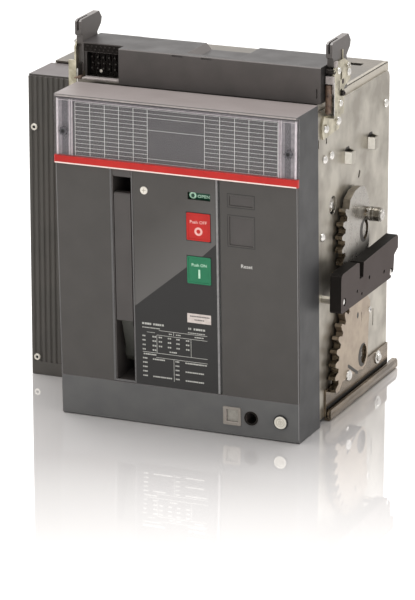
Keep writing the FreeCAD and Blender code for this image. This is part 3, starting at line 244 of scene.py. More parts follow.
def make_finish(name, dark, light, roughness, metallic=0.0, patch=0.03, grain=0.0006,
                depth=0.00001, stretch=(1.0, 1.0, 1.0), edge=0.0004, worn_and_lit_edges=None, drift_gloss=0.06,
                specular=0.5, painted_light_facing=()):
    """A finish whose colour drifts from dark to light, with a fine grain and softened edges.

    Faces that look one of the listed ways take that way's colour, as painted light or painted shade
    for how the lamps fall on the top or on one side. Edges take a paler colour: part edge wear,
    part painted highlight."""
    finish = bpy.data.materials.new(name)
    finish.use_nodes = True
    shader = shader_of(finish)
    shader.inputs["Metallic"].default_value = metallic
    shader.inputs["Specular IOR Level"].default_value = specular
    drift = noise(finish, patch, 4.0, stretch)
    colour = ramp(finish, drift, tint(*dark), tint(*light))
    bevel = add_node(finish, "ShaderNodeBevel", Radius=edge)
    bevel.samples = 4
    bump = add_node(finish, "ShaderNodeBump", Strength=1.0, Distance=depth)
    join(finish, noise(finish, grain, 2.0, stretch), bump.inputs["Height"])
    join(finish, bevel.outputs["Normal"], bump.inputs["Normal"])
    join(finish, bump.outputs["Normal"], shader.inputs["Normal"])
    join(finish, spread(finish, drift, roughness - drift_gloss, roughness + drift_gloss),
         shader.inputs["Roughness"])
    normal = finish.node_tree.nodes.new("ShaderNodeNewGeometry").outputs["Normal"]
    # Painted light and shade: a face that looks up or to the right takes a paler or darker colour.
    for way, painted_tone in painted_light_facing:
        look = spread(finish, reach_along(finish, normal, way), 0.0, 1.0, 0.75, 0.95)
        colour = mixed(finish, look, colour, tint(*painted_tone))
    # Painted highlight and wear: the rims of the edges take a paler colour.
    if worn_and_lit_edges:
        turn = reach_along(finish, bevel.outputs["Normal"], normal)
        colour = mixed(finish, spread(finish, turn, 0.7, 0.0, 0.80, 0.995), colour, tint(*worn_and_lit_edges))
    join(finish, colour, shader.inputs["Base Color"])
    finishes[name] = finish
    return finish


# The front grey is painted paler on top and darker on its right side, for the lamps.
front_grey = make_finish("frame_grey", (87, 87, 87), (94, 94, 93), 0.42, edge=0.0011,
                         worn_and_lit_edges=(140, 134, 134), specular=0.36,
                         painted_light_facing=((UP, (108, 101, 99)), (RIGHT, (46, 46, 47))))
print("nodes in the grey of the front", len(front_grey.node_tree.nodes))

# %% Plastics
# Colours given for UP and RIGHT are painted light and shade on the top and the right side; the
# paler edge colours are part wear, part painted highlight.
panel_looks = {"dark": (62, 59, 56), "light": (68, 65, 62), "roughness": 0.48,
               "worn_and_lit_edges": (122, 118, 114)}
make_finish("panel_grey", **panel_looks)
make_finish("dark_plastic", (63, 59, 57), (70, 66, 64), 0.45, worn_and_lit_edges=(118, 113, 110))
make_finish("box_plastic", (82, 78, 76), (90, 85, 83), 0.45, worn_and_lit_edges=(112, 107, 104), specular=0.28,
            painted_light_facing=((UP, (44, 41, 40)), (RIGHT, (40, 38, 37))))
make_finish("hook_plastic", (74, 70, 68), (90, 85, 82), 0.42, worn_and_lit_edges=(132, 126, 122))
make_finish("black_plastic", (32, 30, 28), (38, 35, 33), 0.45, worn_and_lit_edges=(118, 112, 108),
            specular=0.02, painted_light_facing=((UP, (26, 24, 22)), (RIGHT, (82, 75, 73))))
make_finish("housing_plastic", (56, 52, 49), (68, 63, 59), 0.52, patch=0.02)
make_finish("beige_plastic", (176, 168, 156), (192, 184, 172), 0.4)
make_finish("white_plastic", (214, 208, 196), (230, 225, 214), 0.35)
make_finish("red_plastic", (176, 28, 24), (188, 36, 30), 0.4, specular=0.3)
make_finish("green_plastic", (28, 112, 77), (38, 124, 87), 0.4, specular=0.3)
make_finish("label_grey", (56, 56, 57), (61, 61, 61), 0.6, depth=0.0000003)
make_finish("rib_plastic", (66, 63, 58), (74, 70, 65), 0.5, worn_and_lit_edges=(98, 93, 88),
            painted_light_facing=((UP, (77, 71, 70)),))
make_finish("window_plastic", (136, 130, 122), (150, 143, 135), 0.4)
print("plastics", len(finishes))

# %% [markdown]
# ## Plated steel
# The side plates are galvanised or zinc-plated sheet: warm grey, satin, with soft clouds. Brackets
# are chromated yellow, the runners brown. A metal's colour is its reflection, so these use a high
# metallic value and lean on the white walls.

# %% Metals
# The paler edge colours of the metals are part wear, part painted highlight; the roof's right side
# is painted paler, a painted highlight.
make_finish("zinc_steel", (146, 140, 129), (190, 185, 174), 0.36, 0.85, patch=0.035, grain=0.0012,
            depth=0.00003, worn_and_lit_edges=(230, 227, 220))
make_finish("roof_zinc", (96, 91, 84), (116, 110, 102), 0.45, 0.8, worn_and_lit_edges=(150, 144, 134),
            painted_light_facing=((RIGHT, (196, 190, 178)),))
make_finish("rivet_steel", (206, 203, 198), (232, 230, 226), 0.22, 0.9, patch=0.004)
make_finish("roller_steel", (104, 99, 90), (160, 154, 144), 0.24, 0.95, patch=0.006,
            worn_and_lit_edges=(226, 222, 214))
make_finish("ground_steel", (152, 148, 141), (172, 168, 161), 0.3, 0.85, patch=0.012,
            worn_and_lit_edges=(226, 222, 214))
make_finish("tan_steel", (151, 135, 117), (175, 160, 141), 0.34, 0.85, patch=0.015,
            worn_and_lit_edges=(214, 204, 190))
make_finish("oil_and_shade_steel", (60, 51, 40), (128, 115, 96), 0.3, 0.75, patch=0.005,
            worn_and_lit_edges=(196, 186, 168))
make_finish("darker_zinc", (118, 110, 98), (142, 134, 121), 0.34, 0.8, patch=0.006)
make_finish("yellow_zinc_steel", (150, 144, 124), (208, 201, 180), 0.32, 0.85, patch=0.012,
            worn_and_lit_edges=(238, 233, 218))
make_finish("bright_steel", (176, 172, 166), (214, 211, 206), 0.18, 1.0, patch=0.006,
            drift_gloss=0.05)
make_finish("brown_steel", (96, 84, 70), (146, 132, 114), 0.22, 0.9, patch=0.012,
            stretch=(1.0, 0.3, 1.0), worn_and_lit_edges=(188, 176, 158))
make_finish("spring_steel", (150, 147, 142), (180, 177, 172), 0.25, 1.0)
make_finish("cast_alloy", (120, 117, 112), (146, 143, 138), 0.5, 0.8, patch=0.01, grain=0.0015,
            depth=0.00008)
make_finish("silvered_copper", (196, 184, 168), (226, 218, 208), 0.28, 1.0, patch=0.008)
print("plastics and metals", len(finishes))

# %% [markdown]
# ## Clear moulding
# The label cover is thin clear polycarbonate. Glass that bends light would darken the sheet
# behind it, because light would have to find its way in. A skin that is mostly see-through, with a
# milky remainder and a smooth gloss, shows the sheet and still catches the light along its rim.

# %% Clear plastic
clear = bpy.data.materials.new("clear_plastic")
clear.use_nodes = True
shader_of(clear).inputs["Alpha"].default_value = 0.06
join(clear, spread(clear, noise(clear, 0.02), 0.06, 0.14), shader_of(clear).inputs["Roughness"])
join(clear, ramp(clear, noise(clear, 0.05), tint(196, 188, 194), tint(214, 208, 212)),
     shader_of(clear).inputs["Base Color"])
finishes["clear_plastic"] = clear
print("clear skin", shader_of(clear).inputs["Alpha"].default_value)

# %% [markdown]
# ## A panel with a painted paler zone
# The control panel is dull grey, and paler towards its printed lower field, where it catches the
# light. A lamp could do that, but it would light the neighbours too. So the paler zone is painted
# light: the grey is mixed with a paler one by how far a place lies above the slanting edge of the
# print, which is a rise of 0.83 for each step to the right.

# %% Panel grey with a painted paler zone
PRINT_SLOPE = 0.83
control = make_finish("control_grey", **panel_looks)
control_colour = shader_of(control).inputs["Base Color"]
# Painted light: above the slanting edge of the print the grey turns paler.
above_print = reach_along(control, place_of(control), (-PRINT_SLOPE, 0.0, 1.0))
join(control, mixed(control, spread(control, above_print, 1.0, 0.0, 0.136, 0.215),
                    control_colour.links[0].from_socket, tint(88, 86, 84)), control_colour)
print("slope of the print", PRINT_SLOPE)

# %% Give each node its finish
slot_of = {row["node"]: row["material_slot"] for row in frame["record"]["subparts"]}
own_finish = {"top_plates": "roof_zinc", "right_upper_sector": "ground_steel",
              "right_lower_sector": "tan_steel", "ribbed_pole_cover": "rib_plastic",
              "terminal_box": "box_plastic", "guide_hooks": "hook_plastic",
              "control_panel": "control_grey", "plate_studs": "ground_steel",
              "retaining_ring": "ground_steel", "cam_block_spacers": "zinc_steel",
              "position_window": "window_plastic", "right_roller": "roller_steel",
              "left_roller": "roller_steel"}
for name, node in frame["nodes"].items():
    for slot in node.material_slots:
        slot.material = finishes[own_finish.get(name, slot_of[name])]
print("dressed", len(slot_of), "nodes")

# %% [markdown]
# ## Where things are
# Most added pieces lie on one of three planes: the leaning front, the upright label cover and the
# right side plate. A helper for each turns plain millimetres into a point in space, so the rest of
# the notebook can be read like a drawing: so far across, so far up, so far out.

# %% Planes
front_y = -164.0
plate_face = 178.0
cover_top = 358.0
lean = math.radians(2.24)
foot_setback = cover_top * math.tan(lean)


def at(x, behind, up):
    """A point in space, measured back from the plane of the label cover."""
    return Vector((x, front_y + behind, up)) * MM


def on_front(x, up, out=0.0):
    """A point on the leaning front, this far out of it."""
    y = front_y + foot_setback - up * math.sin(lean) - out * math.cos(lean)
    return Vector((x, y, up * math.cos(lean) - out * math.sin(lean))) * MM


def on_label(x, up, out=0.0):
    """A point on the upright face of the label cover."""
    return Vector((x, front_y - out, up)) * MM


def on_side(behind, up, out=0.0):
    """A point on the outer face of the right side plate."""
    return at(plate_face + out, behind, up)


print("foot set back", round(foot_setback, 2), "mm")

# %% [markdown]
# ## Mesh helpers
# A loft joins rings of points, and that one idea gives bars, domes and turned rims. Thin print and
# signs are flat sheets: an outline with holes, filled and given a little thickness. Both keep the
# piece in the row frame, so no object needs a place of its own.


# %% Loft and turned form
def loft(mesh, rings):
    """Faces between rings of points, and a cap at each end."""
    made = [[mesh.verts.new(point) for point in ring] for ring in rings]
    count = len(made[0])
    for low, high in zip(made, made[1:]):
        for index in range(count):
            after = (index + 1) % count
            mesh.faces.new((low[index], low[after], high[after], high[index]))
    mesh.faces.new(list(reversed(made[0])))
    mesh.faces.new(made[-1])


def turned(mesh, base, direction, profile, sides=24, lobes=0, lobe=0.0):
    """A turned form: (distance, radius) steps along a direction, with lobes round it if wanted."""
    axis = Vector(direction).normalized()
    across = axis.orthogonal().normalized()
    other = axis.cross(across)
    rings = []
    for distance, radius in profile:
        ring = []
        for index in range(sides):
            angle = 2 * math.pi * index / sides
            reach = radius * (1 + lobe * math.cos(lobes * angle))
            spoke = (across * math.cos(angle) + other * math.sin(angle)) * reach
            ring.append(Vector(base) + (axis * distance + spoke) * MM)
        rings.append(ring)
    loft(mesh, rings)


pin = bmesh.new()
turned(pin, (0, 0, 0), UP, [(0, 3.0), (5, 3.0)])
print("faces of a plain turned pin", len(pin.faces))
pin.free()


# %% Rectangle, bar and circle
def rectangle(x0, x1, y0, y1, grow=0.0):
    """The four corners of a rectangle, grown by a margin."""
    return [(x0 - grow, y0 - grow), (x1 + grow, y0 - grow), (x1 + grow, y1 + grow),
            (x0 - grow, y1 + grow)]


def bar(mesh, place, x0, x1, y0, y1, low=0.0, high=0.08, bevel=0.0):
    """A rectangular bar on a plane; a bevel draws its outer face in."""
    rings = [rectangle(x0, x1, y0, y1)] * 2 + [rectangle(x0, x1, y0, y1, -bevel)]
    heights = (low, high - bevel, high)
    if not bevel:
        rings, heights = rings[:2], (low, high)
    loft(mesh, [[place(x, y, out) for x, y in ring] for ring, out in zip(rings, heights)])


def circle(x, y, radius, sides=32):
    """Points of a circle round x and y."""
    angles = [2 * math.pi * step / sides for step in range(sides)]
    return [(x + radius * math.cos(angle), y + radius * math.sin(angle)) for angle in angles]


print("a square of two, grown by one", rectangle(0, 2, 0, 2, 1))


# %% Sheet
def sheet(mesh, place, outline, holes=(), low=0.0, high=0.08):
    """A flat sheet with holes, from low to high out of its plane."""
    loops = [list(outline)] + [list(hole) for hole in holes]
    flat = [[Vector((x, y, 0)) for x, y in loop] for loop in loops]
    points = [point for loop in loops for point in loop]
    top = [mesh.verts.new(place(x, y, high)) for x, y in points]
    foot = [mesh.verts.new(place(x, y, low)) for x, y in points]
    for face in tessellate_polygon(flat):
        mesh.faces.new([top[index] for index in face])
        mesh.faces.new([foot[index] for index in reversed(face)])
    start = 0
    for loop in loops:
        for index in range(len(loop)):
            a, b = start + index, start + (index + 1) % len(loop)
            mesh.faces.new((top[a], foot[a], foot[b], top[b]))
        start += len(loop)


card = bmesh.new()
sheet(card, on_label, rectangle(0, 20, 0, 20), [circle(10, 10, 5)])
print("faces of a square card with a round hole", len(card.faces))
card.free()


# %% Finish a piece
def make_piece(name, mesh, finish, body="unit_frame", smooth=35):
    """Turn a mesh into a named piece that rides on a body."""
    bmesh.ops.recalc_face_normals(mesh, faces=mesh.faces)
    data = bpy.data.meshes.new(name)
    mesh.to_mesh(data)
    mesh.free()
    data.shade_smooth()
    data.set_sharp_from_angle(angle=math.radians(smooth))
    piece = bpy.data.objects.new(name, data)
    scene.collection.objects.link(piece)
    data.materials.append(finishes[finish])
    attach(piece, body)
    print(name, len(data.vertices), "points")
    return piece


def make_of(part, name, finish, *sizes, body="unit_frame"):
    """A named piece built of parts of one kind, such as bars, from the sizes of each part."""
    mesh = bmesh.new()
    for values in sizes:
        part(mesh, *values)
    return make_piece(name, mesh, finish, body)


print("meshes before the first added piece", len(bpy.data.meshes))

# %% [markdown]
# ## Print colours
# Print sits on the surface as a skin of ink or a thin sheet. It needs few colours, and each gets
# the same treatment as the plastics, only flatter and with no edge wear.

# %% Inks
inks = {
    "ink_white": ((196, 194, 190), (208, 206, 202)),
    "ink_line": ((216, 218, 214), (232, 233, 229)),
    "ink_table": ((172, 172, 166), (190, 190, 184)),
    "ink_black": ((24, 23, 22), (28, 27, 26)),
    "ink_pink": ((226, 170, 162), (238, 186, 178)),
    "ink_mint": ((176, 220, 192), (196, 232, 208)),
    "ink_grey": ((92, 88, 84), (104, 100, 96)),
    "label_pale": ((196, 184, 178), (210, 200, 194)),
    "strip_white": ((236, 214, 206), (246, 228, 220)),
    "cover_lilac": ((124, 120, 124), (146, 141, 145)),
    "cover_rib": ((206, 198, 202), (226, 218, 222)),
    "cover_shade": ((70, 68, 72), (84, 82, 86)),
    "pocket_bright": ((242, 238, 228), (252, 248, 240)),
    "beige_zinc": ((168, 160, 146), (196, 188, 174)),
    "shade_zinc": ((40, 36, 31), (58, 52, 45)),
    "lever_olive": ((44, 44, 38), (52, 52, 45)),
    "lilac_zinc": ((150, 142, 140), (172, 164, 160)),
    "disc_grey": ((150, 146, 138), (164, 160, 152)),
    "sign_green": ((10, 62, 44), (14, 74, 52)),
    "sign_red": ((150, 26, 22), (166, 32, 26)),
    "pit_black": ((8, 8, 8), (13, 12, 12)),
    "cream_plastic": ((206, 202, 190), (224, 220, 208)),
    "copper_brown": ((78, 60, 50), (112, 90, 74)),
    "bead_grey": ((122, 121, 121), (138, 137, 136)),
    "edge_shine": ((128, 127, 128), (138, 137, 138)),
    "fold_zinc": ((116, 110, 100), (136, 130, 119)),
    "mark_grey": ((84, 80, 76), (96, 91, 86)),
}
for name, (dark, light) in inks.items():
    make_finish(name, dark, light, 0.5, patch=0.004, depth=0.000002, edge=0.0001)
print("inks", len(inks))

# %% [markdown]
# ## The label sheet behind the clear cover
# A ruled sheet for circuit names lies behind the cover: thirteen rows, and columns in two blocks
# with a bare field between them. The lines are thin bars of ink, set out from the sheet's own box.

# %% Ruled lines
sheet_low, sheet_high = (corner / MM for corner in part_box("label_backing"))
columns = [2.4, 19.5, 36.4, 52.7, 69.5, 85.7, 150.8, 167.9, 184.7, 200.8, 217.5, 233.0]
rows = 13
margin = 0.6
row_pitch = (sheet_high.z - sheet_low.z - 2 * margin) / rows
sheet_out = front_y - sheet_low.y + 0.05
table_top = sheet_high.z - margin
lines = bmesh.new()
for column in columns:
    x = sheet_low.x + column
    bar(lines, on_label, x - 0.24, x + 0.24, table_top - rows * row_pitch, table_top,
        sheet_out - 0.03, sheet_out)
for row in range(rows + 1):
    z = table_top - row * row_pitch
    for start, end in ((0, 5), (5, 6), (6, 11)):
        if start == 5 and row not in (0, 1, 2, 5, 12, 13):
            continue
        bar(lines, on_label, sheet_low.x + columns[start], sheet_low.x + columns[end],
            z - 0.17, z + 0.17, sheet_out - 0.04, sheet_out - 0.01)
make_piece("label_lines", lines, "ink_line")

# %% [markdown]
# ## The ends of the label cover
# Beyond the sheet the clear cover shows its own thick ends: a grey-lilac bed, upright ribs that
# catch the light, a darker groove between them, and a knurled finger screw with a dark hollow. The
# ribs' near-white colour is a painted highlight, and the dark groove and hollow are painted shade.
# They are slim bars, because a real moulding shows its edges and not its faces.

# %% Cover ends
cover_left, cover_right = -91.6, 181.6
cover_foot, bed_top = 291.6, 353.0
sheet_left, sheet_right = sheet_low.x - 0.4, sheet_high.x + 0.4
ends = ((cover_left, sheet_left), (sheet_right, cover_right))
make_of(bar, "cover_end_beds", "cover_lilac",
        *[(on_label, x0, x1, cover_foot, bed_top, -5.4, -4.6) for x0, x1 in ends],
        (on_label, sheet_left, sheet_right, sheet_high.z + 0.2, bed_top, -5.4, -4.6))
# Painted highlight: the ribs are coloured near white for the light they catch.
make_of(bar, "cover_end_ribs", "cover_rib",
        *[(on_label, x - width, x + width, cover_foot, bed_top, -4.6, -2.6, 0.4)
          for x, width in ((-90.6, 0.95), (-76.4, 0.45), (-73.9, 0.45), (161.8, 0.45),
                           (164.2, 0.45), (180.4, 0.95))],
        (on_label, -90.2, 180.2, 350.9, 351.5, -4.6, -3.6, 0.2))
# Painted shade: a dark sheet for the groove between the ribs.
make_of(bar, "cover_end_groove_shades", "cover_shade",
        *[(on_label, (x0 + x1) / 2 - 3.4, (x0 + x1) / 2 + 3.4, 292.0, 352.0, -4.6, -4.5)
          for x0, x1 in ends])

# %% Knurled finger screws
FORWARD = (0.0, -1.0, 0.0)
knob = [(0, 3.2), (2.2, 3.2), (2.6, 4.6), (4.6, 4.6), (5.2, 3.9), (5.2, 2.3), (4.3, 2.1)]
knob_piece = make_of(turned, "finger_screws", "cover_shade",
                     *[(on_label(x, 318.0, -5.2), FORWARD, knob, 64, 8, 0.13)
                       for x in (-83.0, 173.0)])
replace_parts(knob_piece, "label_fasteners")
# Painted shade: a flat dark disc stands for the hollow of each screw.
make_of(turned, "finger_screw_hollow_shades", "pit_black",
        *[(on_label(x, 318.0, -0.9), FORWARD, [(0, 2.0), (0.15, 2.0)]) for x in (-83.0, 173.0)])

# %% [markdown]
# ## The strip, the lever slot and the panel edges
# A white line runs along the foot of the red strip. The lever slot has a thin raised lip, and a
# pale bead closes the right edge of the control panel. A pale line along each outer edge of the
# front is a painted highlight. Nearly all of them are slim bars with a bevel, because it is the
# bevel that draws the bright line.

# %% Strip line
make_of(bar, "strip_line", "strip_white",
        (on_label, -92.8, 182.8, 282.95, 284.3, -0.4, 0.12, 0.05))

# %% Lip and head of the lever slot
panel_foot, panel_top = 44.8, 282.2
make_of(bar, "slot_lip", "frame_grey",
        (on_front, -30.6, -28.2, panel_foot, panel_top, -0.3, 0.5, 0.4),
        (on_front, -5.9, -4.3, panel_foot, panel_top, -0.3, 0.4, 0.35),
        (on_front, -28.2, -5.9, panel_foot, 47.0, -0.3, 0.4, 0.35))
head_profile = ((282.4, -0.4), (277.0, -0.5), (274.0, -1.6), (273.4, -4.0), (282.4, -4.0))
make_of(loft, "slot_head", "dark_plastic",
        ([[on_front(x, up, out) for up, out in head_profile] for x in (-27.0, -6.4)],))

# %% Bead, painted edge highlights and brow
make_of(bar, "panel_bead", "bead_grey", (on_front, 90.7, 93.0, 44.6, 282.4, -2.8, 0.3, 0.25))
# Painted highlight: a pale line along the right and the left outer edge of the front.
make_of(bar, "frame_painted_edge_highlights", "edge_shine",
        (on_front, 182.0, 182.6, 4.0, 282.0, -0.02, 0.04),
        (on_front, -92.9, -92.5, 44.0, 282.0, -0.02, 0.04))
make_of(bar, "cover_brow", "lilac_zinc", (on_label, -92.0, 182.0, 355.6, 357.2, -0.1, 0.0))

# %% [markdown]
# ## The print of the control panel
# The lower part of the panel is printed nearly black, with a slanting upper edge. A second
# colour on the panel's own faces would need them cut along the slant. One thin sheet does it
# instead: an outline with a hole for the green button.

# %% Dark field
field = [(-4.5, 44.6), (90.4, 44.6), (90.4, 211.4), (75.4, 197.0), (56.4, 182.6), (-4.5, 132.2)]
button_hole = [(56.6, 164.6), (56.6, 182.4), (75.4, 196.2), (85.0, 196.2), (85.0, 164.6)]
make_of(sheet, "panel_print", "ink_black", (on_front, field, [button_hole], -0.02, 0.05))

# %% [markdown]
# ## The rating table
# Low on the panel sits a ruled table: slim rules, and short bars for its entries, with a small
# pale label over it. It was measured on a much enlarged view, so its places across are counted in
# steps of that view. One helper turns a step into millimetres, and a list of places is all that a
# rule or a run of bars needs.

# %% Rules of the table
table_left, first_step, steps_per_mm = -4.7, 100, 13.77
rule_half = 0.25
ink_low, ink_high = 0.05, 0.09


def table_x(step):
    """The place across, in millimetres, of a step on the table."""
    return table_left + (step - first_step) / steps_per_mm


rules = bmesh.new()
for start, end, up in ((480, 1250, 107.7), (285, 415, 104.6), (450, 1250, 102.4),
                       (215, 1250, 81.9), (430, 1250, 76.9)):
    bar(rules, on_front, table_x(start), table_x(end), up - rule_half, up + rule_half,
        ink_low, ink_high)
for step, low, high in ((445, 81.9, 102.4), (990, 81.9, 102.4), (715, 103.4, 107.7),
                        (712, 51.8, 76.9)):
    bar(rules, on_front, table_x(step) - rule_half, table_x(step) + rule_half, low, high,
        ink_low, ink_high)
print("rules of the table from", round(table_x(215), 1), "to", round(table_x(1250), 1), "mm")


# %% Entries of the table
def add_bars(mesh, start, end, up, height, count):
    """A run of short bars."""
    step = (table_x(end) - table_x(start)) / count
    for index in range(count):
        x = table_x(start) + step * index
        width = step * (0.86 if index % 3 else 0.72)
        bar(mesh, on_front, x, x + width, up - height / 2, up + height / 2, ink_low, ink_high)


for entry in ((215, 370, 114.0, 2.2, 4), (392, 565, 114.0, 2.2, 5), (952, 1000, 114.0, 2.2, 2),
              (1036, 1222, 114.0, 2.2, 5), (215, 500, 109.6, 1.0, 9), (945, 1220, 109.4, 1.0, 8),
              (640, 690, 105.0, 1.2, 2), (752, 830, 105.0, 1.2, 3), (1050, 1195, 105.0, 1.2, 5),
              (230, 440, 79.6, 1.4, 7), (645, 770, 84.8, 1.4, 4), (375, 575, 74.6, 1.5, 7),
              (375, 685, 55.0, 1.5, 10), (895, 1240, 74.6, 1.5, 11), (895, 1195, 64.6, 1.5, 10),
              (895, 1195, 54.6, 1.5, 10)):
    add_bars(rules, *entry)
for row, up in enumerate((100.0, 95.1, 89.9, 84.9)):
    add_bars(rules, 215, 265, up, 1.5, 2)
    add_bars(rules, 375, 438, up, 1.7, 2)
    for start in (475, 620, 757, 910):
        if row < 3:
            add_bars(rules, start, start + 56, up, 1.6, 2)
for up in (74.8, 70.0, 65.1, 60.0, 55.0):
    add_bars(rules, 215, 290, up, 1.5, 3)
    add_bars(rules, 737, 800, up, 1.5, 3)
make_piece("rating_rules", rules, "ink_table")

# %% Small pale label
make_of(bar, "small_label", "label_pale", (on_front, 56.2, 83.5, 121.2, 131.6, 0.04, 0.16))
label_bars = bmesh.new()
for x, end, up in ((59.5, 81.5, 128.6), (64.5, 75.5, 124.8)):
    while x < end:
        bar(label_bars, on_front, x, x + 1.5, up - 0.7, up + 0.7, 0.16, 0.19)
        x += 1.9
make_piece("small_label_bars", label_bars, "ink_grey")

# %% [markdown]
# ## Signs on the buttons and in the window
# OFF, ON, O, I and OPEN are the plain signs that every such switch has. The words are outlines
# turned into faces. The window's sign lies on the drum behind it and rides on the drum, and its
# second side comes round when the contacts close.


# %% Words, and the sign of the red button
def add_words(mesh, text, place, size, x, y, high=0.08, width=None):
    """Raised or printed words, centred on x and y; each letter outline becomes flat faces."""
    curve = bpy.data.curves.new("words", "FONT")
    curve.body = text
    curve.size = size
    curve.align_x = "CENTER"
    curve.align_y = "CENTER"
    curve.resolution_u = 3
    curve.offset = size * 0.012
    holder = bpy.data.objects.new("words", curve)
    scene.collection.objects.link(holder)
    flat = bpy.data.meshes.new_from_object(holder)
    bpy.data.objects.remove(holder)
    squeeze = 1.0
    if width:
        spans = [vertex.co.x for vertex in flat.vertices]
        squeeze = width / (max(spans) - min(spans))
    corners = [mesh.verts.new(place(x + vertex.co.x * squeeze, y + vertex.co.y, high))
               for vertex in flat.vertices]
    for face in flat.polygons:
        mesh.faces.new([corners[index] for index in face.vertices])
    bpy.data.meshes.remove(flat)
    print(text, len(corners), "corners")


off_words = bmesh.new()
add_words(off_words, "Push OFF", on_front, 4.8, 70.7, 233.4, 0.16, 19.4)
sheet(off_words, on_front, circle(70.7, 223.4, 4.6), [circle(70.7, 223.4, 2.3)], 0.1, 0.16)
make_piece("off_sign", off_words, "ink_pink", "off_button")

# %% Sign of the green button
on_words = bmesh.new()
add_words(on_words, "Push ON", on_front, 4.6, 70.9, 186.0, 0.16, 17.0)
bar(on_words, on_front, 69.9, 72.0, 171.6, 181.4, 0.1, 0.16)
make_piece("on_sign", on_words, "ink_mint", "on_button")

# %% Drum signs
drum_low, drum_high = (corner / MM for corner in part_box("state_drum"))
drum_y = (drum_low.y + drum_high.y) / 2
drum_z = (drum_low.z + drum_high.z) / 2
drum_radius = 10.0


def on_drum(turn):
    """Places points on the drum, wound round it by this many degrees."""
    def place(x, up, out=0.0):
        angle = up / drum_radius + math.radians(turn) + lean
        reach = drum_radius + out
        return Vector((x, drum_y - reach * math.cos(angle), drum_z + reach * math.sin(angle))) * MM
    return place


field_left, field_right = 59.4, 83.9
for word, turn, field_finish, ink in (("OPEN", 0, "sign_green", "ink_mint"),
                                      ("CLOSED", 70, "sign_red", "ink_pink")):
    place = on_drum(turn)
    patch = bmesh.new()
    loft(patch, [[place(field_left, up, 0.05), place(field_right, up, 0.05),
                  place(field_right, up, 0.0), place(field_left, up, 0.0)]
                 for up in (-5.6, -4.2, -2.8, -1.4, 0.0, 1.4, 2.8, 4.2, 5.6)])
    make_piece("sign_field_" + word.lower(), patch, field_finish, "state_drum")
    sign = bmesh.new()
    add_words(sign, word, place, 4.6, 76.0, -1.6, 0.12, 13.6)
    if word == "OPEN":
        sheet(sign, place, circle(63.7, -1.0, 3.9), [circle(63.7, -1.0, 2.1)], 0.06, 0.12)
    else:
        bar(sign, place, 63.2, 64.6, -4.2, 2.2, 0.06, 0.12)
    make_piece("sign_word_" + word.lower(), sign, ink, "state_drum")

# %% [markdown]
# ## A word and fine gaps
# The right part of the front has a printed word, and two openings that are closed with blanks.
# Round each blank and each button runs a gap so fine that it is only a dark line. Cutting it into
# the solid would cost many faces, so a black frame of its width lies on the surface.

# %% Reset word
make_of(add_words, "reset_word", "ink_white",
        ("Reset", on_front, 5.6, 125.0, 190.6, 0.05, 13.0))

# %% Gaps round the buttons and the blanked openings
gaps = bmesh.new()
for x0, x1, spans, width, low, high in (
        (57.3, 84.3, ((213.1, 243.5), (165.0, 195.5)), 0.7, 0.05, 0.08),
        (104.3, 134.3, ((211.4, 245.4), (254.5, 268.6)), 0.6, 0.0, 0.03)):
    for low_up, high_up in spans:
        sheet(gaps, on_front, rectangle(x0, x1, low_up, high_up, width),
              [rectangle(x0, x1, low_up, high_up)], low, high)
make_piece("opening_gaps", gaps, "pit_black")

# %% [markdown]
# ## Heads of screws and rivets
# Each bare fastener solid is a plain disc. The real ones are domed and bright, and some have a
# cross or a slot. A turned profile gives the dome, and the drive is one or two small dark bars
# let into it, a painted shade for the recess. These heads replace the discs.


# %% Domed heads
drive_reach, drive_half = 0.55, 0.11


def add_head(mesh, pits, base, direction, radius, height, drive=None):
    """A domed head, with a cross or slot drive if wanted."""
    profile = [(0, radius), (height * 0.3, radius)]
    for step in range(1, 6):
        angle = math.pi / 2 * step / 6
        profile.append((height * (0.3 + 0.7 * math.sin(angle)), radius * math.cos(angle) * 0.98))
    turned(mesh, base, direction, profile)
    # Painted shade: the drive is drawn as dark bars, not cut as a recess.
    if drive:
        axis = Vector(direction)
        across = axis.orthogonal().normalized()
        for index in range(2 if drive == "cross" else 1):
            side = Matrix.Rotation(math.pi / 2 * index + 0.5, 3, axis) @ across
            other = axis.cross(side)
            reach, half = radius * drive_reach, radius * drive_half
            rings = [[Vector(base) + (axis * out + side * a + other * b) * MM
                      for a, b in rectangle(-reach, reach, -half, half)]
                     for out in (height * 0.5, height * 1.02)]
            loft(pits, rings)


print("a drive reaches", drive_reach, "of the radius of its head")

# %% Heads on the side plate
heads = bmesh.new()
drives = bmesh.new()
for behind, up, out in ((90.3, 291.8, 0.0), (109.8, 291.8, 0.0), (86.0, 207.8, 0.0),
                        (274.5, 312.0, 0.0), (88.0, 325.9, 2.0), (124.0, 326.6, 2.0)):
    add_head(heads, drives, on_side(behind, up, out), RIGHT, 4.8, 3.9)
add_head(heads, drives, on_side(163.5, 29.5, 2.0), RIGHT, 3.4, 1.6)
add_head(heads, drives, on_side(230.4, 86.8), RIGHT, 4.6, 1.7, "slot")
turned(heads, on_side(254.8, 26.0, 2.0), RIGHT, [(0, 7.5), (1.1, 7.5), (1.6, 7.0)], 32)
add_head(heads, drives, on_side(254.8, 26.0, 3.6), RIGHT, 4.4, 3.2)
turned(heads, on_side(117.8, 235.3, -7.0), RIGHT, [(0, 7.4), (5.0, 7.4)])
add_head(heads, drives, on_side(117.8, 235.3, -2.0), RIGHT, 4.0, 2.2, "cross")
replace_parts(make_piece("plate_heads", heads, "rivet_steel"), "plate_fasteners")
make_piece("plate_head_drives", drives, "pit_black")

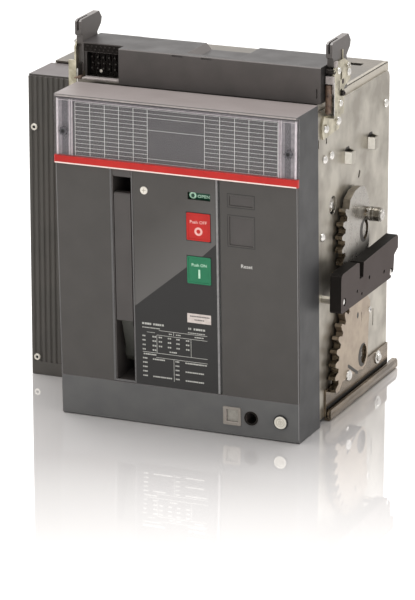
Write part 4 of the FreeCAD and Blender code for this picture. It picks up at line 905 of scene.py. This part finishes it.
# %% Screws, pocket and cover of the lower sector
sector_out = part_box("right_lower_sector")[1].x / MM - plate_face
film_low, film_high = sector_out + 0.01, sector_out + 0.06
sector_heads = bmesh.new()
sector_pits = bmesh.new()
add_head(sector_heads, sector_pits, on_side(141.7, 39.3, sector_out), RIGHT, 6.0, 4.4)
add_head(sector_heads, sector_pits, on_side(206.2, 95.9, sector_out), RIGHT, 3.4, 1.8, "cross")
make_piece("sector_screws", sector_heads, "rivet_steel", "racking_shaft")
make_piece("sector_screw_drives", sector_pits, "pit_black", "racking_shaft")
# Painted shade: a dark oval sheet stands for the pocket in the sector.
oval = [(170.2 + 2.4 * x, 99.4 + 3.6 * y) for x, y in circle(0.0, 0.0, 1.0, 24)]
make_of(sheet, "sector_pocket_shade", "pit_black",
        (on_side, oval, (), film_low, sector_out + 0.05), body="racking_shaft")
make_of(bar, "sector_cover", "tan_steel",
        (on_side, 182.6, 193.6, 84.6, 101.0, film_low, film_high), body="racking_shaft")

# %% Screws of the cam block and the brackets
LEFT = (-1.0, 0.0, 0.0)
screws = bmesh.new()
crosses = bmesh.new()
for behind, up in ((88.5, 138.8), (231.0, 134.0)):
    add_head(screws, crosses, on_side(behind, up, 23.0), RIGHT, 4.3, 2.8)
for behind, up, radius in ((99.0, 387.0, 3.8), (105.0, 351.0, 3.8), (128.0, 380.0, 4.2)):
    add_head(screws, crosses, on_side(behind, up, 12.3), RIGHT, radius, 2.4)
add_head(screws, crosses, at(-109.3, 99.0, 387.0), LEFT, 3.8, 2.4)
for up in (296.0, 311.0):
    add_head(screws, crosses, at(-92.0, 103.0, up), LEFT, 3.0, 2.0, "cross")
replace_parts(make_piece("bracket_screws", screws, "rivet_steel"), "panhead_screws")
make_piece("bracket_screw_drives", crosses, "pit_black")

# %% [markdown]
# ## Screws of the covers
# A pale plug with a cross closes a hole at the top of the lever slot, and two socket screws hold
# the fourth pole's cover. They are turned like the heads, but their rims are sharp, so each has
# its own profile. The hexagon of a socket is a turned form with six sides.

# %% Cover screws
outward = on_front(0.0, 0.0, 1.0) - on_front(0.0, 0.0, 0.0)
covers = bmesh.new()
sockets = bmesh.new()
turned(covers, on_front(8.7, 262.0, -5.8), outward, [(0, 4.4), (5.4, 4.4), (5.9, 4.1)], 32)
# Painted shade: the cross of the plug is a pair of slightly darker bars, not a recess.
make_of(bar, "cover_screw_cross", "beige_zinc", (on_front, 6.4, 11.0, 261.7, 262.3, 0.1, 0.14),
        (on_front, 8.4, 9.0, 259.7, 264.3, 0.1, 0.14))
socket_head = [(0, 3.7), (1.2, 3.7), (1.8, 3.2), (1.8, 1.9), (0.7, 1.7)]
for up in (20.2, 285.0):
    turned(covers, at(-176.5, 125.0, up), FORWARD, socket_head, 32)
    # Painted shade: a dark hexagon stands for the shaded socket of each screw.
    turned(sockets, at(-176.5, 124.25, up), FORWARD, [(0, 1.7), (0.1, 1.7)], 6)
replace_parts(make_piece("cover_screw_heads", covers, "white_plastic"), "cover_screws")
make_piece("cover_screw_sockets", sockets, "pit_black")

# %% [markdown]
# ## The ribs of the fourth pole's cover
# The moulded ribs run into one another like waves, while the solid has square steps. A thin waved
# skin lies over the steps. One wave profile, swept upright, makes the whole face.

# %% Waved skin
rib_count = 14
wing_low, wing_high = (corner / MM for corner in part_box("ribbed_pole_cover"))
wing_width = wing_high.x - wing_low.x
pitch = wing_width / rib_count
steps = rib_count * 8
crest = wing_low.y - 0.12
wave_depth, skin_depth = 1.5, 1.85


def wave_at(index, up):
    """A point of the waved face, with its crest over each rib."""
    x = wing_low.x + wing_width * index / steps
    phase = 2 * math.pi * (x - wing_low.x - pitch / 4) / pitch
    return Vector((x, crest + wave_depth * max(0.0, -math.cos(phase)) ** 0.8, up)) * MM


wave = bmesh.new()
loft(wave, [[wave_at(index, up) for index in range(steps + 1)]
            + [Vector((x, crest + skin_depth, up)) * MM for x in (wing_high.x, wing_low.x)]
            for up in (15.4, 341.8)])
make_piece("waved_ribs", wave, "rib_plastic", smooth=70)

# %% [markdown]
# ## Oil and painted shade on the sectors
# The teeth of the racking sectors run in grease, and the gaps between them lie in deep shade, so
# their flanks and the walls of the holes are a dark oily brown: part grease, part painted shade.
# The ground faces stay bright, and the smooth rim above the teeth is a little darker. A skin
# picked from the sector's own rim faces follows every tooth. It lies a few hundredths of a
# millimetre outside, where a film would.


# %% Skins
def add_skin(mesh, node_name, pick, lift):
    """A copy of the faces of a node that pick accepts, moved out along their normals."""
    source = frame["nodes"][node_name].data
    count = 0
    for face in source.polygons:
        if pick(face.center, face.normal):
            corners = [mesh.verts.new(source.vertices[index].co + face.normal * lift * MM)
                       for index in face.vertices]
            mesh.faces.new(corners)
            count += 1
    return count


print("faces of the upper sector", len(frame["nodes"]["right_upper_sector"].data.polygons))

# %% Which faces are oiled
pivot_behind, upper_up, lower_up = 186.5, 191.5, 49.75
upper_pivot = at(0, pivot_behind, upper_up)
lower_pivot = at(0, pivot_behind, lower_up)
film_lift, smooth_height, inner_face = 0.03, 36 * MM, 190 * MM


def rim_of(pivot):
    """Accepts the toothed rim and the walls of the holes."""
    def pick(centre, normal):
        reach = math.hypot(centre.y - pivot.y, centre.z - pivot.z)
        toothed = reach > 55 * MM and centre.z - pivot.z < smooth_height
        in_hole = 12 * MM < reach < 50 * MM
        return abs(normal.x) < 0.2 and centre.x < inner_face and (toothed or in_hole)
    return pick


def smooth_top(centre, normal):
    """Accepts the rim of the upper sector above its teeth."""
    return (abs(normal.x) < 0.2 and centre.x < inner_face
            and centre.z - upper_pivot.z >= smooth_height)


print("pivots", round(upper_up - lower_up, 2), "mm apart")

# %% Films on the tooth flanks
# Part grease, part painted shade: flanks and hole walls turn oily brown; the upper rim is darker.
for name, node_name, pick, finish, body in (
        ("upper_sector_smear", "right_upper_sector", smooth_top, "darker_zinc", "upper_sector"),
        ("upper_sector_film", "right_upper_sector", rim_of(upper_pivot), "oil_and_shade_steel",
         "upper_sector"),
        ("lower_sector_film", "right_lower_sector", rim_of(lower_pivot), "oil_and_shade_steel",
         "racking_shaft")):
    film = bmesh.new()
    print(add_skin(film, node_name, pick, film_lift), "faces under", name)
    make_piece(name, film, finish, body)

# %% [markdown]
# ## The tail of the lever
# The charging lever ends low down in the shade of its slot, and its foot looks dark and nearly
# olive there. That shade is painted: the solid could be split for a second finish, but a skin of
# painted shade over its lowest faces, made like the oil film, leaves the solid whole.

# %% The shaded tail of the lever
tail_top = 117 * MM
tail = bmesh.new()
# Painted shade on the lowest faces of the lever.
count = add_skin(tail, "charging_lever",
                 lambda centre, normal: centre.z < tail_top and normal.y < 0.5, 0.04)
make_piece("lever_tail_shade", tail, "lever_olive", "lever")
print(count, "tail faces")

# %% [markdown]
# ## Painted shade round the teeth and the pivots
# The plate lies in soft shade in two bands behind the teeth, and the hollows round the pivots lie
# in deep shade. The lamps here are too soft to draw that shade, so flat sheets of a darker finish
# paint it: bands along an arc, and crescents inside the pivots' rims.


# %% Painted shade on the plate behind the teeth
def arc_band(mesh, behind, up, radii, start, end, out, steps=28):
    """A flat band along an arc on the side plate; angles rise from the front over the top."""
    ring_points = []
    for radius, turns in ((radii[0], range(steps + 1)), (radii[1], range(steps, -1, -1))):
        for step in turns:
            angle = math.radians(start + (end - start) * step / steps)
            reach = radius * (1 + 0.02 * math.sin(step * 2.3 + radius))
            ring_points.append((behind - reach * math.cos(angle), up + reach * math.sin(angle)))
    sheet(mesh, on_side, ring_points, (), out - 0.05, out)


# Painted shade: two bands of darker zinc behind the teeth.
make_of(arc_band, "plate_shade_bands", "darker_zinc",
        (pivot_behind, upper_up, (56.0, 69.0), -70.0, 40.0, 0.12),
        (pivot_behind, lower_up, (70.0, 84.5), -36.0, 62.0, 0.12))
make_of(sheet, "plate_shades", "shade_zinc", (on_side, circle(195.2, 188.8, 8.4), (), 0.14, 0.18))

# %% Shadow in the hollows of the pivots
arc = [math.radians(75.0 + 210.0 * step / 20) for step in range(21)]
for name, up, body in (("upper_pivot_shadow", upper_up, "upper_sector"),
                       ("lower_pivot_shadow", lower_up, "racking_shaft")):
    outer = [(pivot_behind + 13.2 * math.cos(angle), up + 13.2 * math.sin(angle))
             for angle in arc]
    inner = [(pivot_behind + 6.0 + 11.0 * math.cos(angle), up + 11.6 * math.sin(angle))
             for angle in reversed(arc)]
    make_of(sheet, name, "shade_zinc", (on_side, outer + inner, (), film_low, film_high),
            body=body)

# %% Groove of the lower sector
# Painted shade: a dark sheet stands for the slanting groove.
groove_start, groove_end = Vector((142.5, 49.6)), Vector((171.0, 33.6))
along = (groove_end - groove_start).normalized() * 1.9
square = Vector((-along.y, along.x))
outline = [groove_start - square, groove_start - along, groove_start + square,
           groove_end + square, groove_end + along, groove_end - square]
make_of(sheet, "sector_groove_shade", "shade_zinc", (on_side, outline, (), film_low, film_high),
        body="racking_shaft")

# %% [markdown]
# ## Painted highlights and shadows of the pressed pockets, and the roller
# The two pockets are pressed out of the plate. Their front walls face the light, so a near-white
# sheet on each is a painted highlight, and their mouths lie in shadow, painted by a dark sheet.
# The roller has ground rings and a bright end.

# %% Pocket fronts
pockets_behind = (151.5, 221.7)
fronts = bmesh.new()
mouths = bmesh.new()
for behind in pockets_behind:
    # Painted highlight on each front wall, and painted shadow over each mouth.
    loft(fronts, [[at(x, behind - 0.12 - out, up)
                   for x, up in rectangle(178.3, 186.6, 272.9, 285.7)] for out in (0.0, 0.1)])
    sheet(mouths, on_side, [(behind - 1.0, 285.9), (behind + 14.6, 285.9), (behind + 13.0, 289.4),
                            (behind + 5.0, 289.8)], (), 0.02, 0.1)
make_piece("pocket_front_highlights", fronts, "pocket_bright")
make_piece("pocket_mouth_shadows", mouths, "shade_zinc")

# %% Roller
roller_low, roller_high = (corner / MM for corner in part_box("right_roller"))
roller_y, roller_z = (roller_low.y + roller_high.y) / 2, (roller_low.z + roller_high.z) / 2
ring_foot, ring_top = 7.8, 8.05
for side, body, cap_body in ((1, "right_roller", "upper_sector"),
                             (-1, "left_roller", "unit_frame")):
    foot = Vector((side * roller_low.x, roller_y, roller_z)) * MM
    end = Vector((side * (roller_high.x + 1.35), roller_y, roller_z)) * MM
    make_of(turned, body + "_rings", "bright_steel",
            *[(foot, (side, 0, 0), [(low, ring_foot), (low, ring_top), (high, ring_top),
                                    (high, ring_foot)], 48)
              for low, high in ((0.2, 1.6), (4.6, 5.1))], body=body)
    make_of(turned, body + "_cap", "bright_steel",
            (end, (side, 0, 0), [(0, 6.2), (0.5, 6.2), (0.9, 5.6), (0.9, 3.0), (0.5, 2.8)], 40),
            body=cap_body)

# %% [markdown]
# ## The rolled edge of the runners
# The runner's lower lip is a rolled edge: a long rounded bar that catches one bright line. Its
# round profile is swept along the lip and closed with a dome at the rear.

# %% Rolled edge
roll_x, roll_z = 183.2, 6.2
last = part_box("runners")[1].y / MM
roll = bmesh.new()
for side, first in ((1, -66.0), (-1, 21.0)):
    loft(roll, [[Vector((side * (roll_x + 3.0 * a), y, roll_z + 5.9 * b)) * MM
                 for a, b in circle(0.0, 0.0, scale, 20)]
                for y, scale in ((first, 0.6), (first + 1.5, 0.92), (first + 4, 1.0),
                                 (last - 6, 1.0), (last - 2.4, 0.86), (last - 0.2, 0.4))])
make_piece("runner_rolls", roll, "brown_steel", smooth=60)
# Painted shade: a dark bar just above the rolled edge, where it meets the runner wall.
make_of(bar, "runner_groove_shade", "pit_black", (on_side, 99.0, 286.0, 11.6, 14.6, 2.02, 2.3))

# %% [markdown]
# ## Details of the guide brackets
# The brackets beside the hooks carry a small copper-coloured roller, a bright strip, a pale
# slider, nuts, a spring and pins. They are too small for the solids, so they are turned and
# lofted here.


# %% Blocks and nuts
def block_at(mesh, x0, x1, d0, d1, z0, z1, bevel=0.3):
    """A block with a bevelled outline, from its distances behind the front."""
    b = bevel
    ring = [(x0 + b, d0), (x1 - b, d0), (x1, d0 + b), (x1, d1 - b), (x1 - b, d1), (x0 + b, d1),
            (x0, d1 - b), (x0, d0 + b)]
    loft(mesh, [[at(x, d, z) for x, d in ring] for z in (z0, z1)])


def nut(mesh, base, direction, radius, height):
    """A six-sided nut with the end of its bolt."""
    turned(mesh, base, direction, [(0, radius * 0.96), (height * 0.2, radius),
                                   (height * 0.8, radius), (height, radius * 0.9)], 6)
    turned(mesh, base, direction, [(height, radius * 0.5), (height + 1.2, radius * 0.5),
                                   (height + 1.6, radius * 0.36)], 16)


bracket_face = 190.3
print("the brackets' outer face stands", round(bracket_face - plate_face, 1), "mm off the plate")

# %% Roller, nuts and spring of the right brackets
make_of(turned, "bracket_roller", "copper_brown",
        (at(184.4, 85.2, 343.0), UP,
         [(0, 2.6), (1, 3.3), (8, 3.3), (8.6, 2.9), (9.2, 3.3), (19, 3.3), (19.6, 2.9),
          (20.2, 3.3), (30, 3.3), (31, 2.6)]))
bright = bmesh.new()
dark = bmesh.new()
block_at(bright, 188.2, 190.9, 86.0, 87.6, 341.0, 377.0, 0.2)
block_at(bright, 182.0, 188.0, 87.0, 100.0, 341.0, 342.6)
nut(dark, at(bracket_face, 109.0, 361.0), RIGHT, 3.4, 2.4)
nut(bright, at(bracket_face, 125.0, 388.0), RIGHT, 2.8, 2.0)
turned(dark, at(bracket_face, 112.0, 373.0), RIGHT, [(0, 3.0), (0.12, 3.0)])
block_at(dark, bracket_face, bracket_face + 0.15, 100.0, 101.4, 365.0, 376.0, 0.1)
coil_radius, coil_points = 2.4, 61
coil = [Vector((182.0 + 9.0 * step / 60,
                front_y + 86.0 + coil_radius * math.cos(step * math.pi / 5),
                388.4 + coil_radius * math.sin(step * math.pi / 5))) for step in range(coil_points)]
for first, last in zip(coil, coil[1:]):
    way = last - first
    turned(dark, first * MM, way, [(0, 0.5), (way.length, 0.5)], 6)
make_piece("bracket_bright_parts", bright, "bright_steel")
make_piece("bracket_dark_parts", dark, "black_plastic")

# %% Sliders and pins of the right brackets
make_of(block_at, "bracket_sliders", "lilac_zinc",
        (181.6, 190.6, 82.6, 87.6, 375.5, 383.5, 0.6),
        (186.0, 190.9, 90.0, 96.0, 392.0, 398.0, 0.6))
make_of(turned, "bracket_pins", "yellow_zinc_steel",
        *[(at(x, behind, up), UP, [(0, 0.8), (height, 0.8)], 12)
          for x, behind, up, height in ((189.0, 113.5, 394.0, 13.0), (186.6, 116.5, 394.0, 11.0),
                                        (184.6, 111.0, 392.0, 9.0))])

# %% Left bracket parts
bracket_left = -109.3
left_bright = bmesh.new()
left_dark = bmesh.new()
nut(left_bright, at(bracket_left, 96.0, 393.0), LEFT, 3.2, 2.2)
nut(left_dark, at(bracket_left, 92.0, 372.0), LEFT, 3.2, 2.0)
turned(left_bright, at(-104.0, 84.4, 343.0), UP, [(0, 1.2), (1, 1.6), (22, 1.6), (23, 1.2)], 16)
turned(left_dark, at(-100.5, 84.0, 346.0), UP,
       [(0, 2.4), (1, 2.9), (12, 2.9), (12.6, 2.5), (13.2, 2.9), (26, 2.9), (27, 2.4)], 20)
turned(left_bright, at(-101.0, 81.0, 357.0), FORWARD, [(0, 1.3), (0.8, 1.0)], 16)
make_piece("left_bracket_bright", left_bright, "bright_steel")
make_piece("left_bracket_dark", left_dark, "black_plastic")

# %% [markdown]
# ## The contact bay
# In the open bay left of the terminal box sit the blocks of the sliding contacts. In the shade one
# sees rows of small grey contact tips and one bright screw. The tips are short domed pins.

# %% Contact tips
bay_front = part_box("terminal_box")[0].y / MM - front_y + 15.0
apron = bmesh.new()
block_at(apron, -97.5, -50.3, bay_front - 0.5, bay_front - 0.1, 385.4, 394.0, 0.1)
for row, up in enumerate((387.6, 391.2)):
    for index in range(9):
        turned(apron, at(-94.6 + 5.2 * index + 1.6 * row, bay_front - 0.5, up), FORWARD,
               [(0, 0.9), (0.5, 0.9), (0.8, 0.6)], 10)
make_piece("bay_apron", apron, "black_plastic")
make_of(turned, "contact_tips", "ink_grey",
        *[(at(-95.6 + 6.79 * index + 0.8 * (row % 2), 103.6, up), FORWARD,
           [(0, 1.0), (1.4, 1.0), (1.8, 0.6)], 10)
          for row, up in enumerate((363.5, 369.5, 376.0, 381.5)) for index in range(7)])
make_of(turned, "bay_screw", "white_plastic",
        (at(-82.0, 97.0, 362.5), FORWARD, [(0, 1.9), (1.0, 1.9), (1.5, 1.2)], 20))
make_of(block_at, "bay_strip", "lilac_zinc", (-97.0, -51.0, 78.6, 90.0, 356.2, 357.6))
wedge = (((-106.0, 78.0, 356.3), (-97.5, 78.0, 356.3), (-97.5, 84.0, 356.3),
          (-106.0, 84.0, 356.3)),
         ((-106.0, 79.0, 357.2), (-97.5, 78.6, 360.2), (-97.5, 84.0, 360.2),
          (-106.0, 84.0, 357.2)))
make_of(loft, "bay_wedge", "copper_brown", ([[at(*corner) for corner in ring] for ring in wedge],))

# %% [markdown]
# ## Window and lock of the bottom band
# The position window shows a pale flag behind it, and has a thin bevel at two of its edges. The
# key lock is a cream disc with two turned rings in a dark seat. Slim bars and turned profiles give
# them, because at this size only their edges show.

# %% Band fittings
make_of(bar, "window_flag", "disc_grey", (on_front, 99.6, 112.7, 15.1, 28.5, -2.0, -1.85))
make_of(bar, "window_bevels", "label_pale", (on_front, 97.6, 99.6, 13.6, 30.4, 0.02, 0.25, 0.1),
        (on_front, 97.6, 114.6, 13.2, 15.2, 0.02, 0.25, 0.1))

# %% Key lock
lock_x, lock_up = 162.0, 21.8
disc_low, disc_high = 1.93, 1.98
make_of(turned, "lock_seat", "pit_black",
        (on_front(lock_x, lock_up), outward, [(0, 8.1), (1.1, 8.1), (1.3, 7.9), (1.3, 7.2)], 48))
make_of(turned, "key_disc", "cream_plastic",
        (on_front(lock_x, lock_up, 1.42), outward,
         [(0, 6.9), (0.45, 6.9), (0.7, 6.6), (0.7, 5.0), (0.5, 4.8)], 48), body="key_lock_plug")
turns = bmesh.new()
# Painted shade: the turned rings and the slot are slightly darker marks on the disc, not recesses.
for outer, inner in ((4.6, 4.1), (2.5, 2.05)):
    sheet(turns, on_front, circle(lock_x, lock_up, outer, 40),
          [circle(lock_x, lock_up, inner, 40)], disc_low, disc_high)
bar(turns, on_front, lock_x - 0.4, lock_x + 0.4, 20.2, 23.4, disc_low, disc_high)
make_piece("key_disc_turns", turns, "beige_zinc", "key_lock_plug")

# %% [markdown]
# ## Top edges
# A pale fold runs along the top of the side plate, with a dark pressed mark on the roof near it.
# Thin blocks set them off from the roof.

# %% Roof details
make_of(block_at, "roof_fold", "fold_zinc", (172.0, 175.9, 80.0, 286.0, 355.9, 356.25, 0.1))
make_of(block_at, "roof_mark", "mark_grey", (100.0, 132.0, 152.0, 172.0, 356.0, 356.1, 0.1))
make_of(turned, "roof_screw", "bright_steel",
        (at(168.0, 140.0, 356.0), UP, [(0, 3.6), (1.6, 3.6), (2.6, 2.4)]))

# %% [markdown]
# ## The floor
# The floor is a plain sheet of pale acrylic. It mirrors the foot of the unit almost sharply, and
# the mirror image fades to white towards the viewer. A blurred mirror would lose the print too
# soon, so it is the strength of the mirror that falls with distance, and not its sharpness.

# %% Floor
floor_mesh = bpy.data.meshes.new("floor")
floor_mesh.from_pydata([(-6, -6, 0), (6, -6, 0), (6, 12, 0), (-6, 12, 0)], [], [(0, 1, 2, 3)])
floor = bpy.data.objects.new("floor", floor_mesh)
floor.location.z = cad_box[0][2] - 0.4 * MM
scene.collection.objects.link(floor)
print("floor at", round(floor.location.z, 5))

# %% Floor finish
floor_sheet = bpy.data.materials.new("floor_sheet")
floor_sheet.use_nodes = True
floor_shader = shader_of(floor_sheet)
for name, value in (("IOR", 3.2), ("Roughness", 0.01), ("Coat IOR", 3.2),
                    ("Coat Roughness", 0.01)):
    floor_shader.inputs[name].default_value = value
heading = camera.rotation_euler.z
ahead = reach_along(floor_sheet, place_of(floor_sheet),
                    (-math.sin(heading), math.cos(heading), 0.0))
near = spread(floor_sheet, ahead, 0.0, 1.0, -0.74, -0.24)
pale_floor = ramp(floor_sheet, noise(floor_sheet, 0.6), tint(236, 235, 233), tint(240, 239, 238))
# Painted shade: the floor's colour turns a little darker near the unit; its mirror grows stronger
# there.
join(floor_sheet, mixed(floor_sheet, near, pale_floor, tint(222, 219, 218)),
     floor_shader.inputs["Base Color"])
join(floor_sheet, spread(floor_sheet, near, 0.0, 0.5, 0.0, 1.0),
     floor_shader.inputs["Specular IOR Level"])
join(floor_sheet, near, floor_shader.inputs["Coat Weight"])
floor.data.materials.append(floor_sheet)
print("nodes in the floor's finish", len(floor_sheet.node_tree.nodes))
